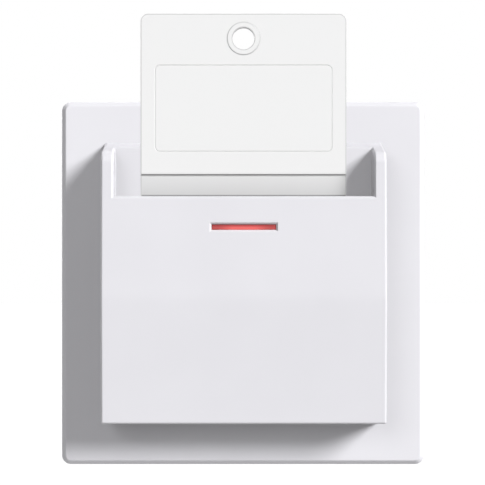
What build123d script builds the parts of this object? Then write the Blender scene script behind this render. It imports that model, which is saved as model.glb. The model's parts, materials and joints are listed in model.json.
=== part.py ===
from build123d import *
import math
import os

# Hotel key card switch for a round wall box, in millimetres.
# X is to the right, Z is up and the viewer stands on the -Y side.
# The wall is the plane Y = 0 and the origin is the middle of the cover frame on the wall.
# A standoff is a distance in front of the wall, so it is minus Y.
os.makedirs("parts", exist_ok=True)

# Shared allowances
overrun = 1.0  # how far a cut runs past the face that it opens
snap_gap = 0.3  # between shells that push together
loose_gap = 0.5  # round a moulded piece that moves in a window
fit_gap = 0.05  # between a shaft or lens and its hole
touch_gap = 0.2  # between a moving piece and what pushes it
run_gap = 0.08  # round a turning screw or pin

side_count = 4  # a square piece repeats its ribs and slots on each side

# Cover frame
frame_band = 12.8
frame_depth = 9.0
frame_bevel = 0.95
frame_corner = 2.0
frame_wall = 2.0
frame_skin = 2.2
window_rim = 1.6
window_rim_rear = 4.0
frame_rib = 1.2
frame_rib_spread = 15.0

# Card holder: side profile of the shell
holder_overlap = 3.15
holder_reach = 12.0
holder_rise = 3.56
holder_drop = 3.2
holder_base_rise = 0.8
top_slope_deg = 14.6
nose_radius = 2.84
crease_height = -2.86
crease_radius = 22.0
front_crown = 1.0
foot_radius = 0.55
edge_round = 0.5

# Card holder: walls, pocket and mouth
side_wall = 2.75
shell_wall = 2.0
pocket_reach = 4.8
pocket_gap = 5.0
pocket_rise = 18.8
floor_wall = 1.9
back_wall = 1.8
mouth_drop = 12.19
mouth_bevel = 0.45
back_bevel = 0.2
collar_wall = 1.6
collar_lift = 0.2

# Indicator lens and the clear light guide behind it
lens_width = 13.85
lens_height = 1.08
lens_drop = 6.67
lens_sink = 0.42
lens_bevel = 0.4
lens_flange = 0.8
lens_flange_rim = 1.3
guide_width = 13.8
guide_height = 2.8
guide_flange = 0.8
guide_flange_rim = 1.3

# Support plate
plate_gap = 0.1
plate_margin = 7.8
plate_corner = 4.0
plate_thickness = 1.2
opening_inset = 2.3
opening_corner = 4.0
box_slot_inset = 5.5
box_slot_width = 4.2
box_slot_length = 6.0
hook_slot_width = 2.4
hook_slot_length = 7.0

# Mechanism: base and cover
base_depth = 24.0
base_wall = 1.6
base_floor = 1.8
base_corner = 5.0
base_edge = 1.0
cover_inset = 0.5
cover_flange = 2.2
cover_corner = 2.0
plug_gap = 0.2
plug_wall = 1.2
plug_depth = 2.4
post_inset = 4.8
post_width = 4.8
assembly_shank_radius = 1.25
assembly_head_radius = 2.3
assembly_head_height = 1.6
assembly_shank_length = 9.4
screw_slot_width = 0.8
screw_slot_depth = 0.8

# Terminals
terminal_offset = 3.6
terminal_margin = 6.0
terminal_inset = 7.0
terminal_width = 8.0
terminal_bevel = 0.5
wire_bore_radius = 1.75
wire_bore_end = 2.0
wire_bore_inset = 0.8
wire_entry_side = 4.6
terminal_screw_radius = 1.75
terminal_screw_rise = 2.2
driver_window = 4.8

# Contacts and their blade
strip_thickness = 0.6
strip_width = 5.0
contact_inset = 1.8
rivet_radius = 1.3
rivet_height = 0.7
blade_standoff = -7.0
blade_rise = 5.1
blade_heel_offset = 1.6
blade_heel_radius = 0.6
blade_tip = 1.8
blade_release_deg = 11.0
strip_leg_inset = 4.4
strip_leg_rise = 1.4
strip_bend = 0.6

# Plunger and its return spring
plunger_rise = 6.1
plunger_radius = 3.0
plunger_flat_radius = 1.0
plunger_slope = 0.25
plunger_travel = 1.75
plunger_gap = 0.1
plunger_collar_radius = 4.0
plunger_collar_height = 1.2
plunger_stem_radius = 1.5
plunger_stem_flat = 0.5
plunger_stem_slope = 0.35
plunger_boss_radius = 5.0
plunger_boss_rise = 1.4
spring_radius = 1.9
spring_wire = 0.5
spring_turns = 4
spring_sides = 4

# Carrier, the inner frame that the card holder snaps on
carrier_gap = 0.2
carrier_margin = 4.6
carrier_plate = 1.8
carrier_wall = 1.4
carrier_hook_thickness = 1.6
carrier_hook_width = 5.0
carrier_hook_bite = 0.7
carrier_hook_head = 1.4
hook_inset = 1.6
hook_offset = 14.0
lug_rise = 0.7
lug_width = 6.0
lug_height = 1.4
lug_offset = 14.0
ear_thickness = 1.6
ear_width = 4.4
ear_gap = 0.6
head_notch = 10.0

# Card lever, its pin and the ramp that the tag pushes
pivot_standoff = 9.0
pivot_drop = 6.4
pin_radius = 1.0
lever_width = 16.0
lever_lift = 0.9
lever_plate = 1.8
lever_boss_radius = 1.9
ramp_gap = 0.3
ramp_run = 4.2
ramp_lead = 3.1
foot_wall = 1.5
foot_walls = 3
foot_drop = 1.8
lever_window_rise = 1.8
lever_window_gap = 1.0

# Lamp
board_margin = 3.8
board_pin_margin = 2.2
board_edge_margin = 1.3
board_thickness = 1.2
led_radius = 1.5
led_rim = 0.4
led_rim_height = 1.0
led_height = 4.0
resistor_radius = 0.8
resistor_length = 3.6
resistor_lead = 0.5
lamp_gap = 0.4
lamp_pin_side = 0.7
lamp_pad_side = 1.6
lamp_pad_height = 0.6

# Claws that spread in the wall box
claw_screw_offset = 2.2
claw_screw_radius = 1.5
claw_head_radius = 2.3
claw_head_height = 1.8
claw_screw_length = 22.8
claw_width = 9.0
claw_plate = 1.6
claw_lug = 2.2
claw_lug_start = 0.8
claw_reach = 8.4
claw_splay = 2.2
claw_tooth = 1.2
claw_tooth_count = 3
guide_rib = 1.2
guide_rise = 2.4

# Key tag
tag_width = 45.0
tag_head = 11.19
tag_floor_gap = 0.1
tag_corner = 1.65
tag_back_gap = 0.3
tag_blade = 0.9
tag_handle = 1.5
tag_step_rise = 4.96
tag_step_bevel = 0.25
tag_hole_radius = 2.4
tag_hole_inset = 5.4
tag_ring_radius = 3.56
tag_ring_height = 0.25
tag_label_width = 38.7
tag_label_height = 18.94
tag_label_rise = 4.93
tag_label_depth = 0.2
tag_label_corner = 1.0

# Standoffs worked out from the front to the back
pocket_back = frame_depth + pocket_reach
pocket_front = pocket_back + pocket_gap
holder_front = frame_depth + holder_reach
back_wall_rear = pocket_back - back_wall
plate_front = plate_gap + plate_thickness
cover_front = plate_front + cover_flange
carrier_rear = cover_front + carrier_gap
carrier_front = carrier_rear + carrier_plate
lever_rear = carrier_front + lever_lift
lever_front = lever_rear + lever_plate
tag_back = pocket_back + tag_back_gap
base_front = plate_gap
base_rear = base_front - base_depth
base_floor_front = base_rear + base_floor
terminal_front = blade_standoff - blade_rise
terminal_length = terminal_front - base_floor_front
strip_front = terminal_front + strip_thickness

# Places across the mechanism, worked out from the lamp in the middle to the frame outside
lead_out = resistor_length / 2 + resistor_radius
resistor_x = -(led_radius + led_rim + lamp_gap + resistor_lead / 2 + lead_out)
lamp_pin_x = -resistor_x + lead_out + resistor_lead / 2 + lamp_gap + lamp_pad_side / 2
contact_x = lamp_pin_x - contact_inset
blade_heel_x = -contact_x - blade_heel_offset
terminal_x = contact_x + terminal_offset
base_side = 2 * (terminal_x + terminal_width / 2 + terminal_margin)
terminal_z = base_side / 2 - terminal_inset
post_x = base_side / 2 - post_inset
strip_leg_x = base_side / 2 - strip_leg_inset
claw_screw_x = base_side / 2 + claw_screw_offset
cover_side = base_side - 2 * cover_inset
plate_opening = base_side - 2 * opening_inset
carrier_side = base_side + 2 * carrier_margin
collar_side = carrier_side + 2 * carrier_gap + 2 * collar_wall
window_side = collar_side + 2 * snap_gap
frame_side = window_side + 2 * frame_band
plate_side = window_side + 2 * plate_margin
box_spacing = plate_side - 2 * box_slot_inset

# Heights, worked out from the ends of the card holder to what it carries
holder_width = window_side + 2 * holder_overlap
holder_top = window_side / 2 + holder_rise
holder_base = window_side / 2 + holder_drop
pocket_floor = pocket_rise - holder_base
panel_top = holder_top - mouth_drop
lens_z = panel_top - lens_drop
pivot_z = lens_z - pivot_drop
contact_z = pocket_floor + plunger_rise
tag_bottom = pocket_floor + tag_floor_gap
tag_step = panel_top + tag_step_rise
tag_label_bottom = tag_step + tag_label_rise
tag_top = tag_label_bottom + tag_label_height + tag_head

# Other worked out sizes
top_fall = math.tan(math.radians(top_slope_deg))
nose_corner_z = holder_top - (holder_reach - front_crown) * top_fall
holder_foot_z = -holder_base + holder_base_rise
pocket_width = holder_width - 2 * side_wall
floor_underside = pocket_floor - floor_wall
collar_rear = plate_front + collar_lift
front_lean = front_crown / (nose_corner_z - crease_height)
lens_front = holder_front - (lens_z - crease_height) * front_lean - lens_sink


def facing(standoff):
    """Plane parallel to the wall at this standoff, looking at the viewer."""
    return Plane.XZ.offset(standoff)


def crossing(x):
    """Upright plane square to the wall at this X, with Y and Z as its own axes."""
    return Plane.YZ.offset(x)


def save(piece, name):
    """Name a finished piece and write it out."""
    piece.part.label = name
    export_step(piece.part, f"parts/{name}.step")


# Cover frame: a bevelled square skin with its window, hollow behind, with a rim and ribs
frame_inside = frame_side - 2 * frame_wall
rim_outside = window_side + 2 * window_rim
rib_x = (frame_inside / 2 + rim_outside / 2) / 2
with BuildPart() as cover_frame:
    with BuildSketch(facing(0)):
        RectangleRounded(frame_side, frame_side, frame_corner)
    extrude(amount=frame_depth)
    chamfer(cover_frame.faces().sort_by(Axis.Y)[0].edges(), frame_bevel)
    with BuildSketch(facing(0)):
        Rectangle(frame_inside, frame_inside)
    extrude(amount=frame_depth - frame_skin, mode=Mode.SUBTRACT)
    with BuildSketch(facing(window_rim_rear)):
        Rectangle(rim_outside, rim_outside)
        with PolarLocations(0, side_count):
            with Locations((rib_x, -frame_rib_spread), (rib_x, frame_rib_spread)):
                Rectangle((frame_inside - rim_outside) / 2 + window_rim, frame_rib)
    extrude(amount=frame_depth - frame_skin - window_rim_rear)
    with BuildSketch(facing(0)):
        Rectangle(window_side, window_side)
    extrude(amount=frame_depth, mode=Mode.SUBTRACT)
save(cover_frame, "cover_frame")


# Card holder: the side profile is carried across the width, then the pocket,
# its mouth, the hollow back and the windows for lens, light and lever are cut
hollow_top = holder_top - (back_wall_rear - frame_depth) * top_fall - shell_wall
hollow_bottom = holder_foot_z + shell_wall
mouth_height = holder_top - panel_top + overrun
lever_window_top = tag_bottom - ramp_gap + ramp_lead + lever_window_rise
lever_window_bottom = floor_underside - overrun
lever_window_width = lever_width + 2 * lever_window_gap
catch_standoff = (carrier_rear + carrier_front) / 2
with BuildPart() as card_holder:
    with BuildSketch(crossing(-holder_width / 2)):
        with BuildLine():
            FilletPolyline(
                (-frame_depth, holder_top),
                (-(holder_front - front_crown), nose_corner_z),
                (-holder_front, crease_height),
                (-(holder_front - front_crown), holder_foot_z),
                (-frame_depth, -holder_base),
                radius=(nose_radius, crease_radius, foot_radius),
            )
            Line((-frame_depth, -holder_base), (-frame_depth, holder_top))
        make_face()
    extrude(amount=holder_width)
    ends = card_holder.faces().filter_by(Axis.X)
    fillet(
        ends.edges().filter_by_position(Axis.Y, -holder_front, -frame_depth - overrun),
        edge_round,
    )
    # hollow behind the back wall
    with BuildSketch(facing(frame_depth)):
        with Locations((0, (hollow_top + floor_underside) / 2)):
            Rectangle(pocket_width, hollow_top - floor_underside)
    extrude(amount=back_wall_rear - frame_depth, mode=Mode.SUBTRACT)
    # hollow under the pocket floor
    with BuildSketch(facing(frame_depth)):
        with Locations((0, (hollow_bottom + floor_underside) / 2)):
            Rectangle(pocket_width, floor_underside - hollow_bottom)
    extrude(amount=pocket_front - frame_depth, mode=Mode.SUBTRACT)
    # collar that passes the window of the frame
    with BuildSketch(facing(collar_rear)):
        Rectangle(collar_side, collar_side)
        Rectangle(
            collar_side - 2 * collar_wall, collar_side - 2 * collar_wall, mode=Mode.SUBTRACT
        )
    extrude(amount=pocket_front - collar_rear)
    # pocket for the card and its open mouth
    with BuildSketch(facing(pocket_back)):
        with Locations((0, pocket_floor + (holder_top + overrun - pocket_floor) / 2)):
            Rectangle(pocket_width, holder_top + overrun - pocket_floor)
    extrude(amount=pocket_gap, mode=Mode.SUBTRACT)
    with BuildSketch(facing(pocket_front)):
        with Locations((0, panel_top + mouth_height / 2)):
            Rectangle(pocket_width, mouth_height)
    extrude(amount=holder_reach, mode=Mode.SUBTRACT)
    mouth_edges = (
        card_holder.edges()
        .filter_by_position(Axis.Z, panel_top + mouth_bevel, holder_top)
        .filter_by_position(Axis.Y, -holder_front, -pocket_back - mouth_bevel)
        .filter_by_position(Axis.X, -pocket_width / 2 - fit_gap, pocket_width / 2 + fit_gap)
    )
    sill_edge = (
        card_holder.edges()
        .filter_by(Axis.X)
        .filter_by_position(Axis.Z, panel_top - fit_gap, panel_top + fit_gap)
        .sort_by(Axis.Y)[0]
    )
    chamfer(mouth_edges + [sill_edge], mouth_bevel)
    back_edge = (
        card_holder.edges()
        .filter_by(Axis.X)
        .filter_by_position(Axis.Y, -pocket_back - fit_gap, -pocket_back + fit_gap)
        .sort_by(Axis.Z)[-1]
    )
    chamfer(back_edge, back_bevel)
    # lens window with its bevel, and the seat for the lens flange behind it
    with BuildSketch(facing(pocket_front)):
        with Locations((0, lens_z)):
            Rectangle(lens_width + 2 * fit_gap, lens_height + 2 * fit_gap)
    extrude(amount=holder_reach, mode=Mode.SUBTRACT)
    lens_edges = (
        card_holder.edges()
        .filter_by_position(Axis.Z, lens_z - lens_height, lens_z + lens_height)
        .filter_by_position(Axis.X, -lens_width, lens_width)
        .filter_by_position(Axis.Y, -holder_front, -lens_front)
    )
    chamfer(lens_edges, lens_bevel)
    with BuildSketch(facing(pocket_front)):
        with Locations((0, lens_z)):
            Rectangle(
                lens_width + 2 * lens_flange_rim + 2 * fit_gap,
                lens_height + 2 * lens_flange_rim + 2 * fit_gap,
            )
    extrude(amount=lens_flange + fit_gap, mode=Mode.SUBTRACT)
    # light window in the back wall
    with BuildSketch(facing(back_wall_rear)):
        with Locations((0, lens_z)):
            Rectangle(guide_width + 2 * fit_gap, guide_height + 2 * fit_gap)
    extrude(amount=back_wall, mode=Mode.SUBTRACT)
    # lever window through the back wall and the pocket floor
    with BuildSketch(facing(back_wall_rear)):
        with Locations((0, (lever_window_top + lever_window_bottom) / 2)):
            Rectangle(lever_window_width, lever_window_top - lever_window_bottom)
    extrude(amount=pocket_front - back_wall_rear, mode=Mode.SUBTRACT)
    # catches in the collar for the lugs of the carrier
    with BuildSketch(facing(catch_standoff - lug_height / 2 - fit_gap)):
        with Locations((0, -lug_offset), (0, lug_offset)):
            Rectangle(collar_side + fit_gap, lug_width + loose_gap)
    extrude(amount=lug_height + 2 * fit_gap, mode=Mode.SUBTRACT)
save(card_holder, "card_holder")


# Indicator lens: a red bar that fills the window, with a flange behind the front panel
with BuildPart() as indicator_lens:
    with BuildSketch(facing(pocket_front)):
        with Locations((0, lens_z)):
            Rectangle(lens_width + 2 * lens_flange_rim, lens_height + 2 * lens_flange_rim)
    extrude(amount=lens_flange)
    with BuildSketch(facing(pocket_front)):
        with Locations((0, lens_z)):
            Rectangle(lens_width, lens_height)
    extrude(amount=lens_front - pocket_front)
save(indicator_lens, "indicator_lens")


# Light guide: a clear block in the back wall of the pocket, with its flange behind
guide_rear = back_wall_rear - guide_flange
with BuildPart() as light_guide:
    with BuildSketch(facing(guide_rear)):
        with Locations((0, lens_z)):
            Rectangle(guide_width + 2 * guide_flange_rim, guide_height + 2 * guide_flange_rim)
    extrude(amount=guide_flange)
    with BuildSketch(facing(guide_rear)):
        with Locations((0, lens_z)):
            Rectangle(guide_width, guide_height)
    extrude(amount=pocket_back - fit_gap - guide_rear)
save(light_guide, "light_guide")


# Support plate: steel, with the box slots, the mechanism opening and slots for the hooks
hook_middle = carrier_side / 2 - hook_inset
with BuildPart() as support_plate:
    with BuildSketch(facing(plate_gap)):
        RectangleRounded(plate_side, plate_side, plate_corner)
        with PolarLocations(box_spacing / 2, side_count):
            SlotOverall(box_slot_length, box_slot_width, mode=Mode.SUBTRACT)
        with Locations((-claw_screw_x, 0), (claw_screw_x, 0)):
            Circle(claw_screw_radius + touch_gap, mode=Mode.SUBTRACT)
        with Locations(
            (-hook_offset, -hook_middle),
            (hook_offset, -hook_middle),
            (-hook_offset, hook_middle),
            (hook_offset, hook_middle),
        ):
            Rectangle(hook_slot_length, hook_slot_width, mode=Mode.SUBTRACT)
    extrude(amount=plate_thickness)
    with BuildSketch(facing(plate_gap)) as opening_outline:
        Rectangle(plate_opening, plate_opening)
        chamfer(opening_outline.vertices(), opening_corner)
    extrude(amount=plate_thickness, mode=Mode.SUBTRACT)
save(support_plate, "support_plate")


# Mechanism base: a box with cut corners, posts for the two screws, wire entries at the
# back, holes for the screwdriver at top and bottom, and guides for the claws at the sides
plug_rear = plate_front - plug_depth
post_front = plug_rear - fit_gap
assembly_tip = cover_front - assembly_head_height - assembly_shank_length
wire_z = terminal_z - wire_bore_inset
terminal_screw_standoff = base_floor_front + terminal_length / 2
guide_z = claw_width / 2 + loose_gap + guide_rib / 2
post_places = [(-post_x, 0), (post_x, 0)]
post_depth = base_side - 2 * base_wall - 2 * post_x
wire_places = [
    (side * terminal_x, height * wire_z) for side in (-1, 1) for height in (-1, 1)
]
with BuildPart() as mechanism_base:
    with BuildSketch(facing(base_rear)) as base_outline:
        Rectangle(base_side, base_side)
        chamfer(base_outline.vertices(), base_corner)
    extrude(amount=base_depth)
    chamfer(mechanism_base.faces().sort_by(Axis.Y)[-1].edges(), base_edge)
    with BuildSketch(facing(base_floor_front)) as base_hollow:
        Rectangle(base_side, base_side)
        chamfer(base_hollow.vertices(), base_corner)
        offset(amount=-base_wall, mode=Mode.REPLACE)
    extrude(amount=base_depth - base_floor, mode=Mode.SUBTRACT)
    with BuildSketch(facing(base_floor_front)):
        with Locations(post_places):
            Rectangle(post_depth, post_width)
    extrude(amount=post_front - base_floor_front)
    with BuildSketch(facing(assembly_tip)):
        with Locations(post_places):
            Circle(assembly_shank_radius + fit_gap)
    extrude(amount=post_front - assembly_tip, mode=Mode.SUBTRACT)
    with BuildSketch(facing(base_floor_front)):
        with Locations((0, contact_z)):
            Circle(spring_radius - spring_wire / 2 - touch_gap)
    extrude(amount=base_floor)
    with BuildSketch(facing(base_rear)):
        with Locations(wire_places):
            Rectangle(wire_entry_side, wire_entry_side)
    extrude(amount=base_floor, mode=Mode.SUBTRACT)
    with BuildSketch(Plane.XY.offset(-base_side / 2 - overrun)):
        with Locations(
            (-terminal_x, -terminal_screw_standoff), (terminal_x, -terminal_screw_standoff)
        ):
            Rectangle(driver_window, driver_window)
    extrude(amount=base_side + 2 * overrun, mode=Mode.SUBTRACT)
    with BuildSketch(facing(base_rear + base_edge)):
        with GridLocations(base_side + guide_rise, 2 * guide_z, 2, 2):
            Rectangle(guide_rise, guide_rib)
    extrude(amount=base_depth - base_edge - base_wall)
save(mechanism_base, "mechanism_base")


# Mechanism cover: a flange in front of the plate, a plug ring in its opening,
# the guide of the plunger and the counterbored holes for the two screws
plug_side = plate_opening - 2 * plug_gap
plug_pad = plug_side - 2 * post_x
lamp_pin_places = [(-lamp_pin_x, terminal_z), (lamp_pin_x, terminal_z)]
with BuildPart() as mechanism_cover:
    with BuildSketch(facing(plate_front)) as cover_outline:
        Rectangle(cover_side, cover_side)
        chamfer(cover_outline.vertices(), cover_corner)
    extrude(amount=cover_flange)
    with BuildSketch(facing(plug_rear)) as plug_outline:
        Rectangle(plate_opening, plate_opening)
        chamfer(plug_outline.vertices(), opening_corner)
        offset(amount=-plug_gap, mode=Mode.REPLACE)
        offset(amount=-plug_wall, mode=Mode.SUBTRACT)
        with Locations(post_places):
            Rectangle(plug_pad, plug_pad)
    extrude(amount=plug_depth)
    with BuildSketch(facing(cover_front)):
        with Locations((0, contact_z)):
            Circle(plunger_boss_radius)
    extrude(amount=plunger_boss_rise)
    with BuildSketch(facing(plate_front)):
        with Locations((0, contact_z)):
            Circle(plunger_radius + plunger_gap)
        with Locations(lamp_pin_places):
            Rectangle(lamp_pin_side + 2 * touch_gap, lamp_pin_side + 2 * touch_gap)
    extrude(amount=cover_flange + plunger_boss_rise, mode=Mode.SUBTRACT)
    with BuildSketch(facing(plug_rear)):
        with Locations(post_places):
            Circle(assembly_shank_radius + touch_gap)
    extrude(amount=cover_front - plug_rear, mode=Mode.SUBTRACT)
    with BuildSketch(facing(cover_front - assembly_head_height)):
        with Locations(post_places):
            Circle(assembly_head_radius + touch_gap)
    extrude(amount=assembly_head_height, mode=Mode.SUBTRACT)
save(mechanism_cover, "mechanism_cover")


# The two screws that clamp cover and base on the support plate
with BuildPart() as assembly_screws:
    with BuildSketch(facing(assembly_tip)):
        with Locations(post_places):
            Circle(assembly_shank_radius)
    extrude(amount=assembly_shank_length)
    with BuildSketch(facing(cover_front - assembly_head_height)):
        with Locations(post_places):
            Circle(assembly_head_radius)
    extrude(amount=assembly_head_height)
    with BuildSketch(facing(cover_front)):
        with Locations(post_places):
            Rectangle(2 * assembly_head_radius, screw_slot_width)
    extrude(amount=-screw_slot_depth, mode=Mode.SUBTRACT)
save(assembly_screws, "assembly_screws")


def terminal_block(side, height, name):
    """Brass terminal: a block with a bore for the wire from behind and a cross screw hole."""
    outer_z = height * (terminal_z + terminal_width / 2)
    with BuildPart() as block:
        with BuildSketch(facing(base_floor_front)):
            with Locations((side * terminal_x, height * terminal_z)):
                Rectangle(terminal_width, terminal_width)
        extrude(amount=terminal_length)
        chamfer(block.edges().filter_by(Axis.Y), terminal_bevel)
        with BuildSketch(facing(base_floor_front)):
            with Locations((side * terminal_x, height * wire_z)):
                Circle(wire_bore_radius)
        extrude(amount=terminal_length - wire_bore_end, mode=Mode.SUBTRACT)
        with BuildSketch(Plane.XY.offset(height * wire_z)):
            with Locations((side * terminal_x, -terminal_screw_standoff)):
                Circle(terminal_screw_radius + fit_gap)
        extrude(amount=outer_z - height * wire_z, mode=Mode.SUBTRACT)
    save(block, name)


terminal_block(-1, -1, "line_terminal")
terminal_block(1, -1, "card_in_terminal")
terminal_block(1, 1, "card_out_terminal")
terminal_block(-1, 1, "lamp_terminal")


# Terminal screws: each bears on the wire in its bore and is turned from above or below
screw_inner = wire_z + wire_bore_radius + touch_gap
screw_outer = terminal_z + terminal_width / 2 + terminal_screw_rise
screw_spots = [(-terminal_x, -terminal_screw_standoff), (terminal_x, -terminal_screw_standoff)]
with BuildPart() as terminal_screws:
    for height in (-1, 1):
        with BuildSketch(Plane.XY.offset(height * screw_inner)):
            with Locations(screw_spots):
                Circle(terminal_screw_radius)
        extrude(amount=height * (screw_outer - screw_inner))
        with BuildSketch(Plane.XY.offset(height * screw_outer)):
            with Locations(screw_spots):
                Rectangle(2 * terminal_screw_radius, screw_slot_width)
        extrude(amount=-height * screw_slot_depth, mode=Mode.SUBTRACT)
save(terminal_screws, "terminal_screws")


# Places of the contacts: the blade swings forward about its heel by the release angle
release = math.radians(blade_release_deg)
blade_arm = contact_x - blade_heel_x
rivet_reach = strip_thickness / 2 + rivet_height
released_rivet_x = blade_heel_x + blade_arm * math.cos(release) - rivet_reach * math.sin(release)
released_rivet_front = (
    blade_standoff
    + (blade_arm + rivet_radius) * math.sin(release)
    + rivet_reach * math.cos(release)
)
front_strip_middle = released_rivet_front + touch_gap + rivet_height + strip_thickness / 2
rear_strip_middle = blade_standoff - rivet_reach - touch_gap - rivet_height - strip_thickness / 2
foot_middle = terminal_front + strip_thickness / 2
foot_end_z = terminal_z + terminal_width / 2 - terminal_bevel


def strip_section(path):
    """Plane square to the start of a strip's path, with the strip's width along Z."""
    return Plane(origin=path.line @ 0, x_dir=(0, 0, 1), z_dir=path.line % 0)


# Common contact: its leg carries the heel of the blade, its foot lies on the line terminal
strip_edge_z = contact_z + strip_width / 2
common_leg_x = blade_heel_x - blade_heel_radius - 2 * touch_gap - strip_thickness / 2
common_foot_x = -terminal_x - terminal_width / 2 + terminal_bevel
with BuildPart() as common_contact:
    with BuildLine() as common_path:
        FilletPolyline(
            (common_foot_x, -foot_middle, contact_z),
            (common_leg_x, -foot_middle, contact_z),
            (common_leg_x, -(blade_standoff + strip_leg_rise), contact_z),
            radius=strip_bend,
        )
    with BuildSketch(strip_section(common_path)):
        Rectangle(strip_width, strip_thickness)
    sweep()
    with BuildSketch(facing(terminal_front)):
        with Locations(
            ((common_foot_x + common_leg_x - strip_bend) / 2, (strip_edge_z - foot_end_z) / 2)
        ):
            Rectangle(common_leg_x - strip_bend - common_foot_x, strip_edge_z + foot_end_z)
    extrude(amount=strip_thickness)
save(common_contact, "common_contact")


# Front contact: meets the blade when the tag is out, its foot lies on a lower terminal
front_strip_start = released_rivet_x - rivet_radius - touch_gap
front_foot_x = terminal_x - terminal_width / 2 + terminal_bevel
with BuildPart() as front_contact:
    with BuildLine() as front_path:
        FilletPolyline(
            (front_strip_start, -front_strip_middle, contact_z),
            (strip_leg_x, -front_strip_middle, contact_z),
            (strip_leg_x, -foot_middle, contact_z),
            (front_foot_x, -foot_middle, contact_z),
            radius=strip_bend,
        )
    with BuildSketch(strip_section(front_path)):
        Rectangle(strip_width, strip_thickness)
    sweep()
    with BuildSketch(facing(terminal_front)):
        with Locations(
            ((front_foot_x + strip_leg_x - strip_bend) / 2, (strip_edge_z - foot_end_z) / 2)
        ):
            Rectangle(strip_leg_x - strip_bend - front_foot_x, strip_edge_z + foot_end_z)
    extrude(amount=strip_thickness)
save(front_contact, "front_contact")


# Rear contact: meets the blade while the tag is in, and steps down to an upper terminal
with BuildPart() as rear_contact:
    with BuildLine() as rear_path:
        FilletPolyline(
            (contact_x, -rear_strip_middle, contact_z - strip_width / 2),
            (contact_x, -rear_strip_middle, terminal_z - terminal_width / 2 - strip_leg_rise),
            (contact_x, -foot_middle, terminal_z - terminal_width / 2),
            (contact_x, -foot_middle, foot_end_z),
            radius=strip_bend,
        )
    with BuildSketch(
        Plane(origin=rear_path.line @ 0, x_dir=(1, 0, 0), z_dir=rear_path.line % 0)
    ):
        Rectangle(strip_width, strip_thickness)
    sweep()
save(rear_contact, "rear_contact")


# Lamp contact: a short strip on the fourth terminal that reaches under the lamp pin
lamp_contact_outer = terminal_x + terminal_width / 2 - terminal_bevel
lamp_contact_inner = lamp_pin_x - contact_inset
with BuildPart() as lamp_contact:
    with BuildSketch(facing(terminal_front)):
        with Locations((-(lamp_contact_outer + lamp_contact_inner) / 2, terminal_z)):
            Rectangle(lamp_contact_outer - lamp_contact_inner, strip_width)
    extrude(amount=strip_thickness)
save(lamp_contact, "lamp_contact")


# Fixed rivets on the front and rear contacts
front_strip_rear = front_strip_middle - strip_thickness / 2
rear_strip_front = rear_strip_middle + strip_thickness / 2
with BuildPart() as contact_rivets:
    with BuildSketch(facing(front_strip_rear - rivet_height)):
        with Locations((released_rivet_x, contact_z)):
            Circle(rivet_radius)
    extrude(amount=rivet_height)
    with BuildSketch(facing(rear_strip_front)):
        with Locations((contact_x, contact_z)):
            Circle(rivet_radius)
    extrude(amount=rivet_height)
save(contact_rivets, "contact_rivets")


# Contact blade: turns about its rolled heel, with a square hole for its own rivet
blade_rear = blade_standoff - strip_thickness / 2
blade_front = blade_standoff + strip_thickness / 2
blade_tip_x = contact_x + blade_tip
rivet_shank = rivet_radius
with BuildPart() as contact_blade:
    with BuildSketch(facing(blade_rear)):
        with Locations(((blade_heel_x + blade_tip_x) / 2, contact_z)):
            Rectangle(blade_tip_x - blade_heel_x, strip_width)
        with Locations((contact_x, contact_z)):
            Rectangle(rivet_shank + 2 * fit_gap, rivet_shank + 2 * fit_gap, mode=Mode.SUBTRACT)
    extrude(amount=strip_thickness)
    with BuildSketch(Plane.XY.offset(contact_z - strip_width / 2)):
        with Locations((blade_heel_x, -blade_standoff)):
            Circle(blade_heel_radius)
    extrude(amount=strip_width)
save(contact_blade, "contact_blade")


with BuildPart() as blade_rivet:
    with BuildSketch(facing(blade_rear - rivet_height)):
        with Locations((contact_x, contact_z)):
            Circle(rivet_radius)
    extrude(amount=rivet_height)
    with BuildSketch(facing(blade_rear)):
        with Locations((contact_x, contact_z)):
            Rectangle(rivet_shank, rivet_shank)
    extrude(amount=strip_thickness)
    with BuildSketch(facing(blade_front)):
        with Locations((contact_x, contact_z)):
            Circle(rivet_radius)
    extrude(amount=rivet_height)
save(blade_rivet, "blade_rivet")


# Return spring: pushes the blade and the plunger forward
spring_length = blade_rear - touch_gap - base_floor_front - spring_wire
with BuildPart() as return_spring:
    with BuildLine() as spring_path:
        Helix(
            pitch=spring_length / spring_turns,
            height=spring_length,
            radius=spring_radius,
            center=(0, -base_floor_front - spring_wire / 2, contact_z),
            direction=(0, -1, 0),
        )
    with BuildSketch(Plane(origin=spring_path.line @ 0, z_dir=spring_path.line % 0)):
        RegularPolygon(spring_wire / 2, spring_sides)
    sweep(is_frenet=True)
save(return_spring, "return_spring")


# Plunger: a round pin in the guide of the cover, with its collar and its stem behind.
# Both ends are coned, because the lever and the blade meet them at a slant.
plunger_tip = lever_rear - touch_gap
plunger_shoulder = plunger_tip - (plunger_radius - plunger_flat_radius) * plunger_slope
plunger_collar_front = plate_front - plunger_travel - touch_gap
plunger_collar_rear = plunger_collar_front - plunger_collar_height
plunger_nose = blade_front + touch_gap
plunger_neck = plunger_nose + (plunger_stem_radius - plunger_stem_flat) * plunger_stem_slope
with BuildPart() as plunger:
    with BuildSketch(Plane.XY.offset(contact_z)):
        with BuildLine():
            Polyline(
                (0, -plunger_tip),
                (plunger_flat_radius, -plunger_tip),
                (plunger_radius, -plunger_shoulder),
                (plunger_radius, -plunger_collar_front),
                (plunger_collar_radius, -plunger_collar_front),
                (plunger_collar_radius, -plunger_collar_rear),
                (plunger_stem_radius, -plunger_collar_rear),
                (plunger_stem_radius, -plunger_neck),
                (plunger_stem_flat, -plunger_nose),
                (0, -plunger_nose),
                close=True,
            )
        make_face()
    revolve(axis=Axis((0, 0, contact_z), (0, 1, 0)))
save(plunger, "plunger")


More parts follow.
